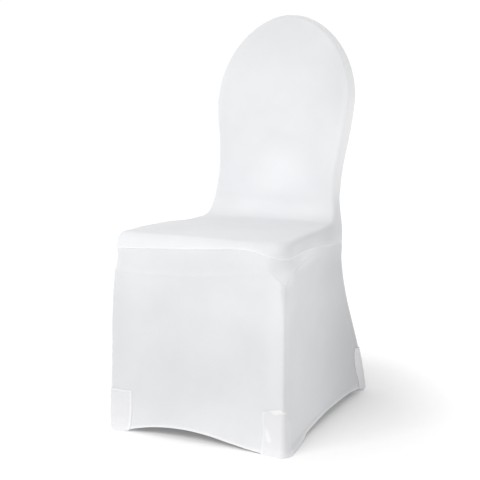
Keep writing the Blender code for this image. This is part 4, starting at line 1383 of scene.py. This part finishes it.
for k, name in enumerate(POCKETS):
    in_front = name.startswith("front")
    top, width = (FRONT_POCKET_TOP, 0.063) if in_front else (REAR_POCKET_TOP, 0.077)
    under_at = np.array([pocket_columns(*both, name, behind)
                         for both in zip(skirt_at[::-1], rear_at[::-1])])
    made, line = pocket(name, worn, worn_normals, under_at, top, pocket_knit_painted_shade, 20 + 3 * k)
    sewing = stitches(name + "_pocket_stitches", [line], thread)
    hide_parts("foot_pocket_" + name)

# The hems' stitches, between the pockets
skirt_columns, rear_columns = skirt_at.shape[1], rear_at.shape[1]
from_front = SEAMS_MEET + SIDE_START + SIDE_POCKET_COLUMN
to_rear = SEAMS_MEET + SIDE_START + REAR_POCKET_COLUMN + 1
skirt_spans = ((SEAMS_MEET - FRONT_POCKET_COLUMN, SEAMS_MEET + FRONT_POCKET_COLUMN + 1),
               (from_front, to_rear), (skirt_columns - to_rear, skirt_columns - from_front))
rear_spans = ((behind, rear_columns - behind),)
for name, slot, numbers, spans in (("skirt", "knit_skirt", skirt_at, skirt_spans),
                                   ("rear", "knit_outside_back", rear_at, rear_spans)):
    paths = [line_at(worn[numbers], worn_normals[numbers], line, *ends)
             for line in STITCH_LINES for ends in spans]
    stitches(name + "_hem_stitches", paths, thread)

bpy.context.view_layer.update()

# --- Studio: floor, light and camera --------------------------------------------------------

floor_mesh = bpy.data.meshes.new("floor")
ring = [(2.4 * cos(a), 2.4 * sin(a), 0.0) for a in np.linspace(0, 2 * pi, 64, endpoint=False)]
floor_mesh.from_pydata(ring, [], [tuple(range(64))])
floor_mesh.materials.append(studio_floor("white_studio_floor"))
floor = in_scene("floor", floor_mesh)


def aimed(name, data, place, target):
    """A lamp or camera that looks from a place at a target."""
    made = in_scene(name, data)
    made.location = place
    made.rotation_euler = (Vector(target) - Vector(place)).to_track_quat("-Z", "Y").to_euler()
    return made


# Two large square lamps
for name, place, power in (("key_light", (-0.6, -2.3, 2.6), 44.0),
                           ("fill_light", (0.3, -3.2, 1.6), 26.0)):
    light = bpy.data.lights.new(name, "AREA")
    light.shape = "SQUARE"
    light.size = 1.6
    light.energy = power
    aimed(name, light, place, (0.0, 0.0, 0.45))

# Pale walls of different brightness, each fading softly into the next. In front, where the lamps
# stand, there is none.
WALLS = [
    ((-1, 0, 0), 1.01),     # left
    ((1, 0, 0), 0.79),      # right
    ((0, 1, 0), 1.08),      # behind
    ((0, 0, 1), 0.42),      # ceiling
    ((0, 0, -1), 2.46),     # past the edge of the floor
]
world = bpy.data.worlds.new("studio")
nodes = Nodes(world)
way = nodes.add("TexCoord").outputs["Generated"]
glow = 0.0
for side, brightness in WALLS:
    facing = nodes.vectors("DOT_PRODUCT", way, side, result="Value")
    share = nodes.maths("POWER", nodes.maths("MAXIMUM", facing, 0.0), 2.0)
    glow = nodes.maths("MULTIPLY_ADD", share, brightness, glow)
nodes.finish(nodes.add("Background", Color=(1, 1, 1, 1), Strength=glow), "OutputWorld")
bpy.context.scene.world = world
bpy.context.scene.view_settings.view_transform = "Standard"

lens = bpy.data.cameras.new("camera")
lens.lens = 79.02
lens.sensor_width = 36.0
bpy.context.scene.camera = aimed("camera", lens, (1.0364, -2.1760, 0.8100),
                                 (0.0041, -0.0463, 0.4113))
